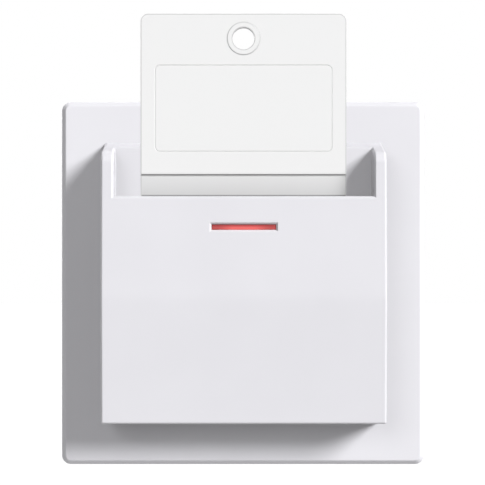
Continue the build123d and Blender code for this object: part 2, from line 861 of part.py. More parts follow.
# Carrier: a plate with a skirt on the support plate, hooks behind it, lugs for the holder
# and two ears for the pin of the lever
hook_inner = hook_middle - carrier_hook_thickness / 2
hook_outer = hook_middle + carrier_hook_thickness / 2
hook_catch = plate_gap - fit_gap
with BuildPart() as carrier:
    with BuildSketch(facing(plate_front)):
        Rectangle(carrier_side, carrier_side)
        Rectangle(
            carrier_side - 2 * carrier_wall, carrier_side - 2 * carrier_wall, mode=Mode.SUBTRACT
        )
        Rectangle(carrier_side, head_notch, mode=Mode.SUBTRACT)
    extrude(amount=carrier_rear - plate_front)
    with BuildSketch(facing(carrier_rear)):
        Rectangle(carrier_side, carrier_side)
        with Locations((0, contact_z)):
            Circle(plunger_boss_radius + loose_gap, mode=Mode.SUBTRACT)
        with Locations(lamp_pin_places):
            Rectangle(
                lamp_pin_side + 2 * touch_gap, lamp_pin_side + 2 * touch_gap, mode=Mode.SUBTRACT
            )
    extrude(amount=carrier_plate)
    # lugs at the sides
    with BuildSketch(facing(catch_standoff - lug_height / 2)):
        with GridLocations(carrier_side, 2 * lug_offset, 2, 2):
            Rectangle(2 * lug_rise, lug_width)
    extrude(amount=lug_height)
    # hooks that pass the support plate, above and below
    for height in (-1, 1):
        for side in (-1, 1):
            with BuildSketch(crossing(side * hook_offset - carrier_hook_width / 2)):
                Polygon(
                    (-carrier_rear, height * hook_inner),
                    (-carrier_rear, height * hook_outer),
                    (-hook_catch, height * hook_outer),
                    (-hook_catch, height * (hook_outer + carrier_hook_bite)),
                    (-hook_catch + carrier_hook_head, height * hook_outer),
                    (-hook_catch + carrier_hook_head, height * hook_inner),
                    align=None,
                )
            extrude(amount=carrier_hook_width)
    # ears for the lever pin
    for side in (-1, 1):
        with BuildSketch(crossing(side * (lever_width / 2 + ear_gap))):
            with Locations((-pivot_standoff, pivot_z)):
                Circle(ear_width / 2)
            with Locations((-(pivot_standoff + carrier_front) / 2, pivot_z)):
                Rectangle(pivot_standoff - carrier_front, ear_width)
            with Locations((-pivot_standoff, pivot_z)):
                Circle(pin_radius + fit_gap, mode=Mode.SUBTRACT)
        extrude(amount=side * ear_thickness)
save(carrier, "carrier")


# Lever pin
pin_length = lever_width + 2 * ear_gap + 2 * ear_thickness
with BuildPart() as lever_pin:
    with BuildSketch(crossing(-pin_length / 2)):
        with Locations((-pivot_standoff, pivot_z)):
            Circle(pin_radius)
    extrude(amount=pin_length)
save(lever_pin, "lever_pin")


# Card lever: hangs on its pin, with a foot whose ramp the lower edge of the tag pushes back
ramp_top = tag_bottom - ramp_gap + ramp_lead
ramp_start = tag_back - ramp_lead
ramp_end = ramp_start + ramp_run
ramp_low = ramp_top - ramp_run
foot_bottom = ramp_low - foot_drop
ramp_inside_share = math.sqrt(2)
bay_width = (lever_width - foot_walls * foot_wall) / 2
with BuildPart() as card_lever:
    with BuildSketch(crossing(-lever_width / 2)):
        Polygon(
            (-lever_rear, pivot_z),
            (-lever_front, pivot_z),
            (-lever_front, ramp_top),
            (-ramp_start, ramp_top),
            (-ramp_end, ramp_low),
            (-ramp_end, foot_bottom),
            (-lever_rear, foot_bottom),
            align=None,
        )
        with Locations((-pivot_standoff, pivot_z)):
            Circle(lever_boss_radius)
            Circle(pin_radius + run_gap, mode=Mode.SUBTRACT)
    extrude(amount=lever_width)
    for bay_start in (-lever_width / 2 + foot_wall, foot_wall / 2):
        with BuildSketch(crossing(bay_start)):
            Polygon(
                (-lever_front, foot_bottom - overrun),
                (-lever_front, ramp_top - foot_wall),
                (-ramp_start - foot_wall + foot_wall * ramp_inside_share, ramp_top - foot_wall),
                (
                    -ramp_end + foot_wall,
                    ramp_low + foot_wall - foot_wall * ramp_inside_share,
                ),
                (-ramp_end + foot_wall, foot_bottom - overrun),
                align=None,
            )
        extrude(amount=bay_width, mode=Mode.SUBTRACT)
save(card_lever, "card_lever")


# Lamp: board, lamp, resistor and the two pins that reach the terminals
board_front = carrier_front + board_thickness
board_bottom = lens_z - board_margin
board_top = terminal_z + board_pin_margin
with BuildPart() as lamp_board:
    with BuildSketch(facing(carrier_front)):
        with Locations((0, (board_bottom + board_top) / 2)):
            Rectangle(2 * lamp_pin_x + 2 * board_edge_margin, board_top - board_bottom)
        with Locations(lamp_pin_places):
            Rectangle(
                lamp_pin_side + 2 * fit_gap, lamp_pin_side + 2 * fit_gap, mode=Mode.SUBTRACT
            )
    extrude(amount=board_thickness)
save(lamp_board, "lamp_board")

with BuildPart() as lamp_led:
    with BuildSketch(facing(board_front)):
        with Locations((0, lens_z)):
            Circle(led_radius + led_rim)
    extrude(amount=led_rim_height)
    with BuildSketch(facing(board_front)):
        with Locations((0, lens_z)):
            Circle(led_radius)
    extrude(amount=led_height)
save(lamp_led, "lamp_led")

resistor_standoff = board_front + resistor_radius + fit_gap
with BuildPart() as lamp_resistor:
    with BuildSketch(crossing(resistor_x - resistor_length / 2)):
        with Locations((-resistor_standoff, lens_z)):
            Circle(resistor_radius)
    extrude(amount=resistor_length)
    with BuildSketch(crossing(resistor_x - lead_out)):
        with Locations((-resistor_standoff, lens_z)):
            Rectangle(resistor_lead, resistor_lead)
    extrude(amount=2 * lead_out)
    with BuildSketch(facing(board_front)):
        with Locations((resistor_x - lead_out, lens_z), (resistor_x + lead_out, lens_z)):
            Rectangle(resistor_lead, resistor_lead)
    extrude(amount=resistor_standoff - board_front)
save(lamp_resistor, "lamp_resistor")

with BuildPart() as lamp_pins:
    with BuildSketch(facing(strip_front)):
        with Locations(lamp_pin_places):
            Rectangle(lamp_pin_side, lamp_pin_side)
    extrude(amount=board_front - strip_front)
    with BuildSketch(facing(board_front)):
        with Locations(lamp_pin_places):
            Rectangle(lamp_pad_side, lamp_pad_side)
    extrude(amount=lamp_pad_height)
save(lamp_pins, "lamp_pins")


# Claw screws: head in front of the support plate, shank beside the base
claw_head_rear = plate_front + fit_gap
claw_screw_tip = claw_head_rear - claw_screw_length


def claw_screw(side, name):
    """Claw screw on one side, with a slotted head."""
    with BuildPart() as screw:
        with BuildSketch(facing(claw_screw_tip)):
            with Locations((side * claw_screw_x, 0)):
                Circle(claw_screw_radius)
        extrude(amount=claw_screw_length)
        with BuildSketch(facing(claw_head_rear)):
            with Locations((side * claw_screw_x, 0)):
                Circle(claw_head_radius)
        extrude(amount=claw_head_height)
        with BuildSketch(facing(claw_head_rear + claw_head_height)):
            with Locations((side * claw_screw_x, 0)):
                Rectangle(2 * claw_head_radius, screw_slot_width)
        extrude(amount=-screw_slot_depth, mode=Mode.SUBTRACT)
    save(screw, name)


claw_screw(-1, "claw_screw_left")
claw_screw(1, "claw_screw_right")


# Claws: a threaded lug round the screw and an arm that leans outwards to its teeth
claw_inner_x = base_side / 2 + snap_gap
claw_outer_x = claw_screw_x + claw_screw_radius + touch_gap + claw_plate
claw_rear = claw_screw_tip + claw_lug_start
claw_front = claw_rear + claw_lug + claw_reach


def claw(side, name):
    """Claw on one side of the base, drawn as its outline from above."""
    with BuildPart() as piece:
        with BuildSketch(Plane.XY.offset(-claw_width / 2)):
            Polygon(
                (side * claw_inner_x, -claw_rear),
                (side * claw_outer_x, -claw_rear),
                (side * (claw_outer_x + claw_splay), -claw_front),
                (side * (claw_outer_x + claw_splay - claw_plate), -claw_front),
                (side * (claw_outer_x - claw_plate), -claw_rear - claw_lug),
                (side * claw_inner_x, -claw_rear - claw_lug),
                align=None,
            )
        extrude(amount=claw_width)
        with BuildSketch(facing(claw_rear)):
            with Locations((side * claw_screw_x, 0)):
                Circle(claw_screw_radius + run_gap)
        extrude(amount=claw_lug, mode=Mode.SUBTRACT)
        # notches that leave the teeth
        pitch = claw_width / claw_tooth_count
        with BuildSketch(crossing(side * claw_inner_x)):
            for notch in range(1, claw_tooth_count):
                notch_z = notch * pitch - claw_width / 2
                Polygon(
                    (-claw_front - overrun, notch_z - pitch / 2),
                    (-claw_front - overrun, notch_z + pitch / 2),
                    (-claw_front + claw_tooth, notch_z),
                    align=None,
                )
        extrude(amount=side * base_side, mode=Mode.SUBTRACT)
    save(piece, name)


claw(-1, "claw_left")
claw(1, "claw_right")


# Key tag: a thin blade in the pocket and a thicker handle with a label recess and a ring hole
tag_blade_front = tag_back + tag_blade
tag_handle_front = tag_back + tag_handle
tag_middle_z = (tag_top + tag_bottom) / 2
tag_hole_z = tag_top - tag_hole_inset
with BuildPart() as key_tag:
    with BuildSketch(facing(tag_back)):
        with Locations((0, tag_middle_z)):
            RectangleRounded(tag_width, tag_top - tag_bottom, tag_corner)
    extrude(amount=tag_handle)
    with BuildSketch(facing(tag_blade_front)):
        with Locations((0, (tag_bottom - overrun + tag_step) / 2)):
            Rectangle(tag_width, tag_step - tag_bottom + overrun)
    extrude(amount=tag_handle, mode=Mode.SUBTRACT)
    step_edge = key_tag.faces().sort_by(Axis.Y)[0].edges().filter_by(Axis.X).sort_by(Axis.Z)[0]
    chamfer(step_edge, tag_step_bevel)
    with BuildSketch(facing(tag_handle_front)):
        with Locations((0, tag_hole_z)):
            Circle(tag_ring_radius)
    extrude(amount=tag_ring_height)
    with BuildSketch(facing(tag_back)):
        with Locations((0, tag_hole_z)):
            Circle(tag_hole_radius)
    extrude(amount=tag_handle + tag_ring_height, mode=Mode.SUBTRACT)
    with BuildSketch(facing(tag_handle_front)):
        with Locations((0, tag_label_bottom + tag_label_height / 2)):
            RectangleRounded(tag_label_width, tag_label_height, tag_label_corner)
    extrude(amount=-tag_label_depth, mode=Mode.SUBTRACT)
save(key_tag, "key_tag")
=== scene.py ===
import json
import logging
import math
from dataclasses import dataclass
from enum import Enum

import bmesh
import bpy
import numpy as np
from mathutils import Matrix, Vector


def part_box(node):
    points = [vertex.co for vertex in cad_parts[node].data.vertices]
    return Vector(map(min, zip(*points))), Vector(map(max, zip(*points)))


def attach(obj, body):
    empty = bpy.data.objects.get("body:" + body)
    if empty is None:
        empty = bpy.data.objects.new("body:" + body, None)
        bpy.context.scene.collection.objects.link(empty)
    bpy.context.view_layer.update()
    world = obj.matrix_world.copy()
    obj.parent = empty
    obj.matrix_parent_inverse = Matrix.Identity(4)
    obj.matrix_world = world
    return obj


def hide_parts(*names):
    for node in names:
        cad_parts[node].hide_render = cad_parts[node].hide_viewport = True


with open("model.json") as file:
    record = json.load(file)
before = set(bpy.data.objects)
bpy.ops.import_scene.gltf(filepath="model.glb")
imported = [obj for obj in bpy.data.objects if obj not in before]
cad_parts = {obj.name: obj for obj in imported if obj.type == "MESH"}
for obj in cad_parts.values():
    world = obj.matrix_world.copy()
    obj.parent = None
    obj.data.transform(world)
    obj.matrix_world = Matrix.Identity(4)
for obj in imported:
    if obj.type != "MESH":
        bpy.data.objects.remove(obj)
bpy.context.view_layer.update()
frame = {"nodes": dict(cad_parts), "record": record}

log = logging.getLogger("key_card_switch")
MM = 0.001
POLYCARBONATE_IOR = 1.585

Tree = bpy.types.NodeTree
Socket = bpy.types.NodeSocket

# Materials by the record's slot
Finishes = dict[str, bpy.types.Material]

# A closed shell: its points in metres, and its faces as rows of four point numbers
Shell = tuple[np.ndarray, np.ndarray]


# Colour and nodes


def linear(code: str) -> tuple[float, float, float, float]:
    """Turn an sRGB hex value into linear light.

    Args:
        code: Six hex digits, such as "EEEDEB".

    Returns:
        Red, green, blue and an alpha of one.
    """
    parts = np.array([int(code[i:i + 2], 16) for i in (0, 2, 4)]) / 255.0
    light = np.where(parts <= 0.04045, parts / 12.92, ((parts + 0.055) / 1.055) ** 2.4)
    return (*map(float, light), 1.0)


def add(tree: Tree, kind: str, settings: dict | None = None,
        links: dict | None = None) -> bpy.types.Node:
    """Add one node to a tree.

    Args:
        tree: The node tree.
        kind: The node's type, without its leading "ShaderNode".
        settings: Values by the name of a property or the name or number of an input.
        links: Output sockets by the name or number of the input that they feed.

    Returns:
        The new node.
    """
    node = tree.nodes.new("ShaderNode" + kind)
    for name, value in (settings or {}).items():
        if isinstance(name, str) and hasattr(node, name):
            setattr(node, name, value)
        else:
            node.inputs[name].default_value = value
    for name, socket in (links or {}).items():
        tree.links.new(socket, node.inputs[name])
    return node


def ramp(tree: Tree, factor: Socket,
         stops: list[tuple[float, tuple]], interpolation: str = "LINEAR"
         ) -> Socket:
    """Add a colour ramp.

    Args:
        tree: The node tree.
        factor: The socket that drives the ramp.
        stops: Pairs of a place from 0 to 1 and a linear colour.
        interpolation: How the colour goes from stop to stop.

    Returns:
        The ramp's colour socket.
    """
    node = add(tree, "ValToRGB", links={0: factor})
    node.color_ramp.interpolation = interpolation
    elements = node.color_ramp.elements
    while len(elements) < len(stops):
        elements.new(0.5)
    for element, (place, colour) in zip(elements, stops):
        element.position = place
        element.color = colour
    return node.outputs[0]


def start(name: str) -> tuple[bpy.types.Material, Tree, Socket]:
    """Start a material with nothing in it but its Object coordinates.

    Args:
        name: Material and process.

    Returns:
        The material, its node tree and the socket of the coordinates.
    """
    material = bpy.data.materials.new(name)
    material.use_nodes = True
    tree = material.node_tree
    tree.nodes.clear()
    return material, tree, add(tree, "TexCoord").outputs["Object"]


def seen(tree: Tree) -> Socket:
    """Add nodes that pick out the rays of the camera, of reflections and of clear pieces.

    Args:
        tree: The node tree.

    Returns:
        A socket that is one for those rays and zero for light that falls on a surface.
    """
    path = add(tree, "LightPath").outputs
    glossy = add(tree, "Math", {"operation": "MAXIMUM"},
                 {0: path["Is Glossy Ray"], 1: path["Is Transmission Ray"]}).outputs[0]
    return add(tree, "Math", {"operation": "MAXIMUM"},
               {0: path["Is Camera Ray"], 1: glossy}).outputs[0]


def across_from(tree: Tree, place: Socket,
                centre: tuple[float, float]) -> Socket:
    """Add nodes that take a place relative to a middle, without its depth.

    Args:
        tree: The node tree.
        place: The socket of the place.
        centre: The middle across and up.

    Returns:
        The socket of the way from the middle, with nothing along Y.
    """
    moved = add(tree, "VectorMath", {"operation": "SUBTRACT", 1: (centre[0], 0.0, centre[1])},
                {0: place}).outputs[0]
    return add(tree, "VectorMath", {"operation": "MULTIPLY", 1: (1.0, 0.0, 1.0)},
               {0: moved}).outputs[0]


# Finishes


class Grain(Enum):
    """How the skin of a finish was made, with how much finer it is along X, Y and Z."""

    SPARK = (1.0, 1.0, 1.0)
    POLISHED = (1.0, 1.0, 0.9)
    ROLLED = (0.06, 1.0, 1.0)
    TURNED = (0.3, 1.0, 0.3)
    DRAWN = (1.0, 0.2, 1.0)


@dataclass(frozen=True)
class Finish:
    """A surface with a base colour, a fine grain and a slow change of tone.

    Attributes:
        name: Material and process.
        colour: Middle colour as sRGB hex.
        shade: Colour of the slow darker patches as sRGB hex.
        roughness: Middle roughness.
        spread: How far the roughness wanders.
        metallic: One for bare metal, zero for the rest.
        ior: Index of refraction of a plastic; a metal keeps the default.
        grain: How the skin was made.
        grain_mm: Size of one grain in millimetres.
        bump_mm: Height of the grain in millimetres.
        coat: Weight of a clear skin.
        drift_mm: Size of the slow patches in millimetres.
    """

    name: str
    colour: str
    shade: str
    roughness: float = 0.4
    spread: float = 0.05
    metallic: float = 0.0
    ior: float = 1.5
    grain: Grain = Grain.SPARK
    grain_mm: float = 0.35
    bump_mm: float = 0.004
    coat: float = 0.0
    drift_mm: float = 22.0

    def make(self) -> bpy.types.Material:
        """Build the material.

        Returns:
            A node material on Object coordinates.
        """
        material, tree, place = start(self.name)
        grid = add(tree, "Mapping", {"Scale": self.grain.value}, {"Vector": place}).outputs[0]
        grain = add(tree, "TexNoise", {"Scale": 1 / (self.grain_mm * MM), "Detail": 3.0,
                                       "Roughness": 0.55}, {"Vector": grid}).outputs[0]
        drift = add(tree, "TexNoise", {"Scale": 1 / (self.drift_mm * MM), "Detail": 2.0},
                    {"Vector": place}).outputs[0]
        colour = ramp(tree, drift, [(0.38, linear(self.shade)), (0.62, linear(self.colour))])
        rough = add(tree, "MapRange", {"From Min": 0.3, "From Max": 0.7,
                                       "To Min": self.roughness - self.spread,
                                       "To Max": self.roughness + self.spread},
                    {"Value": grain}).outputs[0]
        bump = add(tree, "Bump", {"Strength": 1.0, "Distance": self.bump_mm * MM},
                   {"Height": grain}).outputs[0]
        settings = {"Metallic": self.metallic, "Coat Weight": self.coat, "Coat Roughness": 0.08}
        if not self.metallic:
            settings["IOR"] = self.ior
        skin = add(tree, "BsdfPrincipled", settings,
                   {"Base Color": colour, "Roughness": rough, "Normal": bump})
        add(tree, "OutputMaterial", links={"Surface": skin.outputs[0]})
        return material


@dataclass(frozen=True)
class Outline:
    """A rectangle with rounded corners that faces the viewer, in millimetres.

    Attributes:
        centre: Its middle across and up.
        size: Its width and height.
        corner: Its corner radius.
    """

    centre: tuple[float, float]
    size: tuple[float, float]
    corner: float

    def distance(self, tree: Tree, place: Socket
                 ) -> Socket:
        """Add nodes that measure how far a point lies from the line.

        The point is taken relative to the middle, made positive, and less the half size
        without the corners. The length of what is over zero, plus what is left below zero,
        less the corner radius, is the distance.

        Args:
            tree: The node tree.
            place: The socket of the coordinates in millimetres.

        Returns:
            The socket of the distance in millimetres, positive on both sides.
        """
        inner = (self.size[0] / 2 - self.corner, 0.0, self.size[1] / 2 - self.corner)
        flat = across_from(tree, place, self.centre)
        whole = add(tree, "VectorMath", {"operation": "ABSOLUTE"}, {0: flat}).outputs[0]
        over = add(tree, "VectorMath", {"operation": "SUBTRACT", 1: inner}, {0: whole}).outputs[0]
        outer = add(tree, "VectorMath", {"operation": "MAXIMUM", 1: (0.0, 0.0, 0.0)},
                    {0: over}).outputs[0]
        reach = add(tree, "VectorMath", {"operation": "LENGTH"}, {0: outer}).outputs["Value"]
        sides = add(tree, "SeparateXYZ", links={0: over}).outputs
        most = add(tree, "Math", {"operation": "MAXIMUM"},
                   {0: sides[0], 1: sides[2]}).outputs[0]
        below = add(tree, "Math", {"operation": "MINIMUM", 1: 0.0}, {0: most}).outputs[0]
        total = add(tree, "Math", {"operation": "ADD"}, {0: reach, 1: below}).outputs[0]
        line = add(tree, "Math", {"operation": "SUBTRACT", 1: self.corner},
                   {0: total}).outputs[0]
        return add(tree, "Math", {"operation": "ABSOLUTE"}, {0: line}).outputs[0]


@dataclass(frozen=True)
class CardPlastic:
    """Light plastic of a handled card: greyer in its edges and grooves, and on its blade.

    Attributes:
        name: Material and process.
        colour: Colour of the faces as sRGB hex.
        painted_edge_shade: Colour of the painted shade along edges and grooves as sRGB hex.
        painted_blade_shade: Colour of the painted shade on the blade at its lower part as sRGB
            hex.
        painted_shadow: Colour of the painted shadow lines over the mouth's edge and under the
            handle's lower edge as sRGB hex.
        outside: The tag's outline.
        hole_middle: Middle of the hole across and up.
        hole: Radius of the hole.
        ring: Radius of the ring.
        step: Height of the handle's lower edge.
        mouth: Height of the mouth's edge; a painted shadow line lies on the blade just over it.
        edge: Width of the painted shade line along the edges.
        fade: Height over which the blade grows darker.
        mouth_line: How far the painted shadow line is over the mouth's edge, half its width, and
            half its width with the faded borders.
        step_line: The same for the painted shadow line under the handle's lower edge.
        edge_fade: Where the painted edge shade starts and ends its fade, as shares of its width.
        ring_thinner: How much thinner the painted shade line is at the ring.
        blade_start: Share of the blade's painted shade right under the handle.
        roughness: Lowest and highest roughness.
        grain_mm: Size of one grain.
        bump_mm: Height of the grain.
    """

    name: str
    colour: str
    painted_edge_shade: str
    painted_blade_shade: str
    painted_shadow: str
    outside: Outline
    hole_middle: tuple[float, float]
    hole: float
    ring: float
    step: float
    mouth: float
    edge: float = 0.2
    fade: float = 5.0
    mouth_line: tuple[float, float, float] = (0.2, 0.12, 0.3)
    step_line: tuple[float, float, float] = (-0.11, 0.07, 0.16)
    edge_fade: tuple[float, float] = (0.6, 1.4)
    ring_thinner: float = 0.08
    blade_start: float = 0.4
    roughness: tuple[float, float] = (0.4, 0.5)
    grain_mm: float = 0.25
    bump_mm: float = 0.002

    def make(self) -> bpy.types.Material:
        """Build the material.

        Returns:
            A node material on Object coordinates.
        """
        material, tree, place = start(self.name)
        scaled = add(tree, "VectorMath", {"operation": "SCALE", "Scale": 1 / MM},
                     {0: place}).outputs[0]
        flat = across_from(tree, scaled, self.hole_middle)
        radius = add(tree, "VectorMath", {"operation": "LENGTH"}, {0: flat}).outputs["Value"]
        nearest = self.outside.distance(tree, scaled)
        # painted shade: greyer lines along the tag's outline, round its hole and round its ring
        for circle, thinner in ((self.hole, 0.0), (self.ring, self.ring_thinner)):
            off = add(tree, "Math", {"operation": "SUBTRACT", 1: circle},
                      {0: radius}).outputs[0]
            size = add(tree, "Math", {"operation": "ABSOLUTE"}, {0: off}).outputs[0]
            line = add(tree, "Math", {"operation": "ADD", 1: thinner}, {0: size}).outputs[0]
            nearest = add(tree, "Math", {"operation": "MINIMUM"},
                          {0: nearest, 1: line}).outputs[0]
        fade_start, fade_end = self.edge_fade
        painted_edge_shade = add(tree, "MapRange", {"From Min": self.edge * fade_start,
                                      "From Max": self.edge * fade_end,
                                      "To Min": 1.0, "To Max": 0.0},
                   {"Value": nearest}).outputs[0]
        # painted shade: the blade grows darker from the handle's lower edge downwards
        height = add(tree, "SeparateXYZ", links={0: scaled}).outputs[2]
        blade = add(tree, "MapRange", {"From Min": self.step, "From Max": self.step - self.fade,
                                       "To Min": 0.0, "To Max": 1.0},
                    {"Value": height}).outputs[0]
        below = add(tree, "Math", {"operation": "LESS_THAN", 1: self.step},
                    {0: height}).outputs[0]
        share = add(tree, "Math", {"operation": "MULTIPLY_ADD", 1: 1 - self.blade_start,
                                   2: self.blade_start},
                    {0: blade}).outputs[0]
        painted_blade_shade = add(tree, "Math", {"operation": "MULTIPLY"}, {0: share, 1: below}).outputs[0]
        face = add(tree, "Mix", {"data_type": "RGBA", 6: linear(self.colour),
                                 7: linear(self.painted_blade_shade)}, {0: painted_blade_shade}).outputs[2]
        # painted shadow: dark lines just over the mouth's edge and under the handle's lower edge
        lines = []
        for base, (over, core, border) in ((self.mouth, self.mouth_line),
                                           (self.step, self.step_line)):
            above = add(tree, "Math", {"operation": "SUBTRACT", 1: base + over},
                        {0: height}).outputs[0]
            near = add(tree, "Math", {"operation": "ABSOLUTE"}, {0: above}).outputs[0]
            lines.append(add(tree, "MapRange", {"From Min": core, "From Max": border,
                                                "To Min": 1.0, "To Max": 0.0},
                             {"Value": near}).outputs[0])
        painted_shadow = add(tree, "Math", {"operation": "MAXIMUM"}, dict(enumerate(lines))).outputs[0]
        with_painted_shadow = add(tree, "Mix", {"data_type": "RGBA", 7: linear(self.painted_shadow)},
                     {0: painted_shadow, 6: face}).outputs[2]
        # mix in the painted shade along the edges
        colour = add(tree, "Mix", {"data_type": "RGBA", 7: linear(self.painted_edge_shade)},
                     {0: painted_edge_shade, 6: with_painted_shadow}).outputs[2]
        grain = add(tree, "TexNoise", {"Scale": 1 / (self.grain_mm * MM), "Detail": 3.0},
                    {"Vector": place}).outputs[0]
        low, high = self.roughness
        rough = add(tree, "MapRange", {"To Min": low, "To Max": high},
                    {"Value": grain}).outputs[0]
        bump = add(tree, "Bump", {"Distance": self.bump_mm * MM}, {"Height": grain}).outputs[0]
        skin = add(tree, "BsdfPrincipled", {"IOR": 1.5},
                   {"Base Color": colour, "Roughness": rough, "Normal": bump})
        add(tree, "OutputMaterial", links={"Surface": skin.outputs[0]})
        return material


@dataclass(frozen=True)
class GlowingLens:
    """Red tinted clear plastic with the lamp behind its middle, with painted light: it gives off
    light itself, brightest over the lamp, and carries a painted shadow under the window's upper
    edge.

    Attributes:
        name: Material and process.
        core: Colour over the lamp, where the painted glow is brightest, as sRGB hex.
        ends: Colour towards the ends, where the painted glow fades, as sRGB hex.
        painted_window_shadow: Colour towards the upper edge, a painted shadow of the window's
            upper edge, as sRGB hex.
        centre: Middle of the lens's front in metres.
        reach: Distance from the lamp to the ends in metres.
        painted_glow: Strength of the painted glow, light the lens gives off itself in place of the
            lamp's light that comes through.
        half_height: Half the height of the bar in metres.
        shade_start: Height over the middle where the painted shadow starts, as a share of half the
            height. It is darkest at the upper edge.
        ripple_mm: Size of the ripples in its skin in millimetres.
    """

    name: str
    core: str
    ends: str
    painted_window_shadow: str
    centre: tuple[float, float, float]
    reach: float
    painted_glow: float
    half_height: float
    shade_start: float = -0.4
    ripple_mm: float = 0.9

    def make(self) -> bpy.types.Material:
        """Build the material.

        Returns:
            A node material on Object coordinates.
        """
        material, tree, place = start(self.name)
        offset = tuple(-c for c in self.centre)
        moved = add(tree, "Mapping", {"Location": offset}, {"Vector": place}).outputs[0]
        length = add(tree, "VectorMath", {"operation": "LENGTH"}, {0: moved}).outputs["Value"]
        share = add(tree, "MapRange", {"From Max": self.reach}, {"Value": length}).outputs[0]
        # painted glow: lighter over the lamp, darker towards the ends
        spread = ramp(tree, share, [(0.35, linear(self.core)), (0.8, linear(self.ends))])
        height = add(tree, "SeparateXYZ", links={0: moved}).outputs[2]
        # painted shadow of the window's upper edge, darkest at the top
        upper = add(tree, "MapRange", {"From Min": self.shade_start * self.half_height,
                                       "From Max": self.half_height}, {"Value": height}).outputs[0]
        colour = add(tree, "Mix", {"data_type": "RGBA", 7: linear(self.painted_window_shadow)},
                     {0: upper, 6: spread}).outputs[2]
        ripple = add(tree, "TexNoise", {"Scale": 1 / (self.ripple_mm * MM), "Detail": 1.0},
                     {"Vector": place}).outputs[0]
        bump = add(tree, "Bump", {"Strength": 0.4, "Distance": 0.01 * MM},
                   {"Height": ripple}).outputs[0]
        # the emission paints the lamp's light on the lens
        skin = add(tree, "BsdfPrincipled",
                   {"Roughness": 0.22, "IOR": POLYCARBONATE_IOR,
                    "Emission Strength": self.painted_glow},
                   {"Base Color": colour, "Emission Color": colour, "Normal": bump})
        add(tree, "OutputMaterial", links={"Surface": skin.outputs[0]})
        return material


@dataclass(frozen=True)
class ClearPlastic:
    """Clear moulded plastic, such as the light guide.

    Attributes:
        name: Material and process.
        tint: Colour of thick places as sRGB hex.
    """

    name: str
    tint: str

    def make(self) -> bpy.types.Material:
        """Build the material.

        Returns:
            A node material on Object coordinates.
        """
        material, tree, place = start(self.name)
        flow = add(tree, "TexNoise", {"Scale": 1 / (2 * MM)}, {"Vector": place}).outputs[0]
        rough = add(tree, "MapRange", {"To Min": 0.08, "To Max": 0.2}, {"Value": flow}).outputs[0]
        skin = add(tree, "BsdfPrincipled",
                   {"Base Color": linear(self.tint), "IOR": POLYCARBONATE_IOR,
                    "Transmission Weight": 0.9},
                   {"Roughness": rough})
        add(tree, "OutputMaterial", links={"Surface": skin.outputs[0]})
        return material


@dataclass(frozen=True)
class BandedResistor:
    """Dipped ceramic body with its four painted rings.

    Attributes:
        name: Material and process.
        body: Colour of the body as sRGB hex.
        rings: Colours of the rings as sRGB hex, from left to right.
        centre_x: Middle of the body in metres.
        pitch: Distance from ring to ring in metres.
        half_ring: Half the width of a ring, as a share of the painted span.
    """

    name: str
    body: str
    rings: tuple[str, ...]
    centre_x: float
    pitch: float
    half_ring: float = 0.06

    def make(self) -> bpy.types.Material:
        """Build the material.

        Returns:
            A node material on Object coordinates.
        """
        material, tree, place = start(self.name)
        across = add(tree, "SeparateXYZ", links={0: place}).outputs[0]
        span = self.pitch * len(self.rings)
        share = add(tree, "MapRange", {"From Min": self.centre_x - span / 2,
                                       "From Max": self.centre_x + span / 2},
                    {"Value": across}).outputs[0]
        stops = [(0.0, linear(self.body))]
        for number, ring in enumerate(self.rings):
            middle = (number + 0.5) / len(self.rings)
            stops += [(middle - self.half_ring, linear(ring)),
                      (middle + self.half_ring, linear(self.body))]
        painted = ramp(tree, share, stops, "CONSTANT")
        grain = add(tree, "TexNoise", {"Scale": 1 / (0.4 * MM)}, {"Vector": place}).outputs[0]
        bump = add(tree, "Bump", {"Distance": 0.004 * MM}, {"Height": grain}).outputs[0]
        skin = add(tree, "BsdfPrincipled", {"Roughness": 0.35, "IOR": 1.5},
                   {"Base Color": painted, "Normal": bump})
        add(tree, "OutputMaterial", links={"Surface": skin.outputs[0]})
        return material


@dataclass(frozen=True)
class StudioBoard:
    """Matt pale board for the floor, white to the eye, which keeps the object's shadow.

    Attributes:
        name: Material and process.
        colour: Its colour as sRGB hex.
        fibre: Colour of its darker fibres as sRGB hex.
        lift: Light added to the eye and in reflections.
    """

    name: str = "matt pale board"
    colour: str = "A2A2A2"
    fibre: str = "9E9E9E"
    lift: float = 0.74

    def make(self) -> bpy.types.Material:
        """Build the material.

        Returns:
            A node material on Object coordinates.
        """
        material, tree, place = start(self.name)
        speck = add(tree, "TexNoise", {"Scale": 1 / (3 * MM)}, {"Vector": place}).outputs[0]
        colour = ramp(tree, speck, [(0.3, linear(self.fibre)), (0.7, linear(self.colour))])
        paper = add(tree, "BsdfDiffuse", links={"Color": colour}).outputs[0]
        strength = add(tree, "Math", {"operation": "MULTIPLY", 1: self.lift},
                       {0: seen(tree)}).outputs[0]
        light = add(tree, "Emission", links={"Strength": strength}).outputs[0]
        both = add(tree, "AddShader", links={0: paper, 1: light}).outputs[0]
        add(tree, "OutputMaterial", links={"Surface": both})
        return material


# Camera, light and floor


@dataclass(frozen=True)
class SoftLight:
    """A wide, far lamp.

    Attributes:
        name: Its name.
        come_from: Direction that its light comes from.
        width: How wide it looks, in degrees.
        strength: Its strength.
    """

    name: str
    come_from: tuple[float, float, float]
    width: float
    strength: float

    def build(self) -> None:
        """Add the lamp, pointed at the origin."""
        data = bpy.data.lights.new(self.name, "SUN")
        data.angle = math.radians(self.width)
        data.energy = self.strength
        lamp = bpy.data.objects.new(self.name, data)
        lamp.rotation_euler = (-Vector(self.come_from)).to_track_quat("-Z", "Y").to_euler()
        bpy.context.scene.collection.objects.link(lamp)


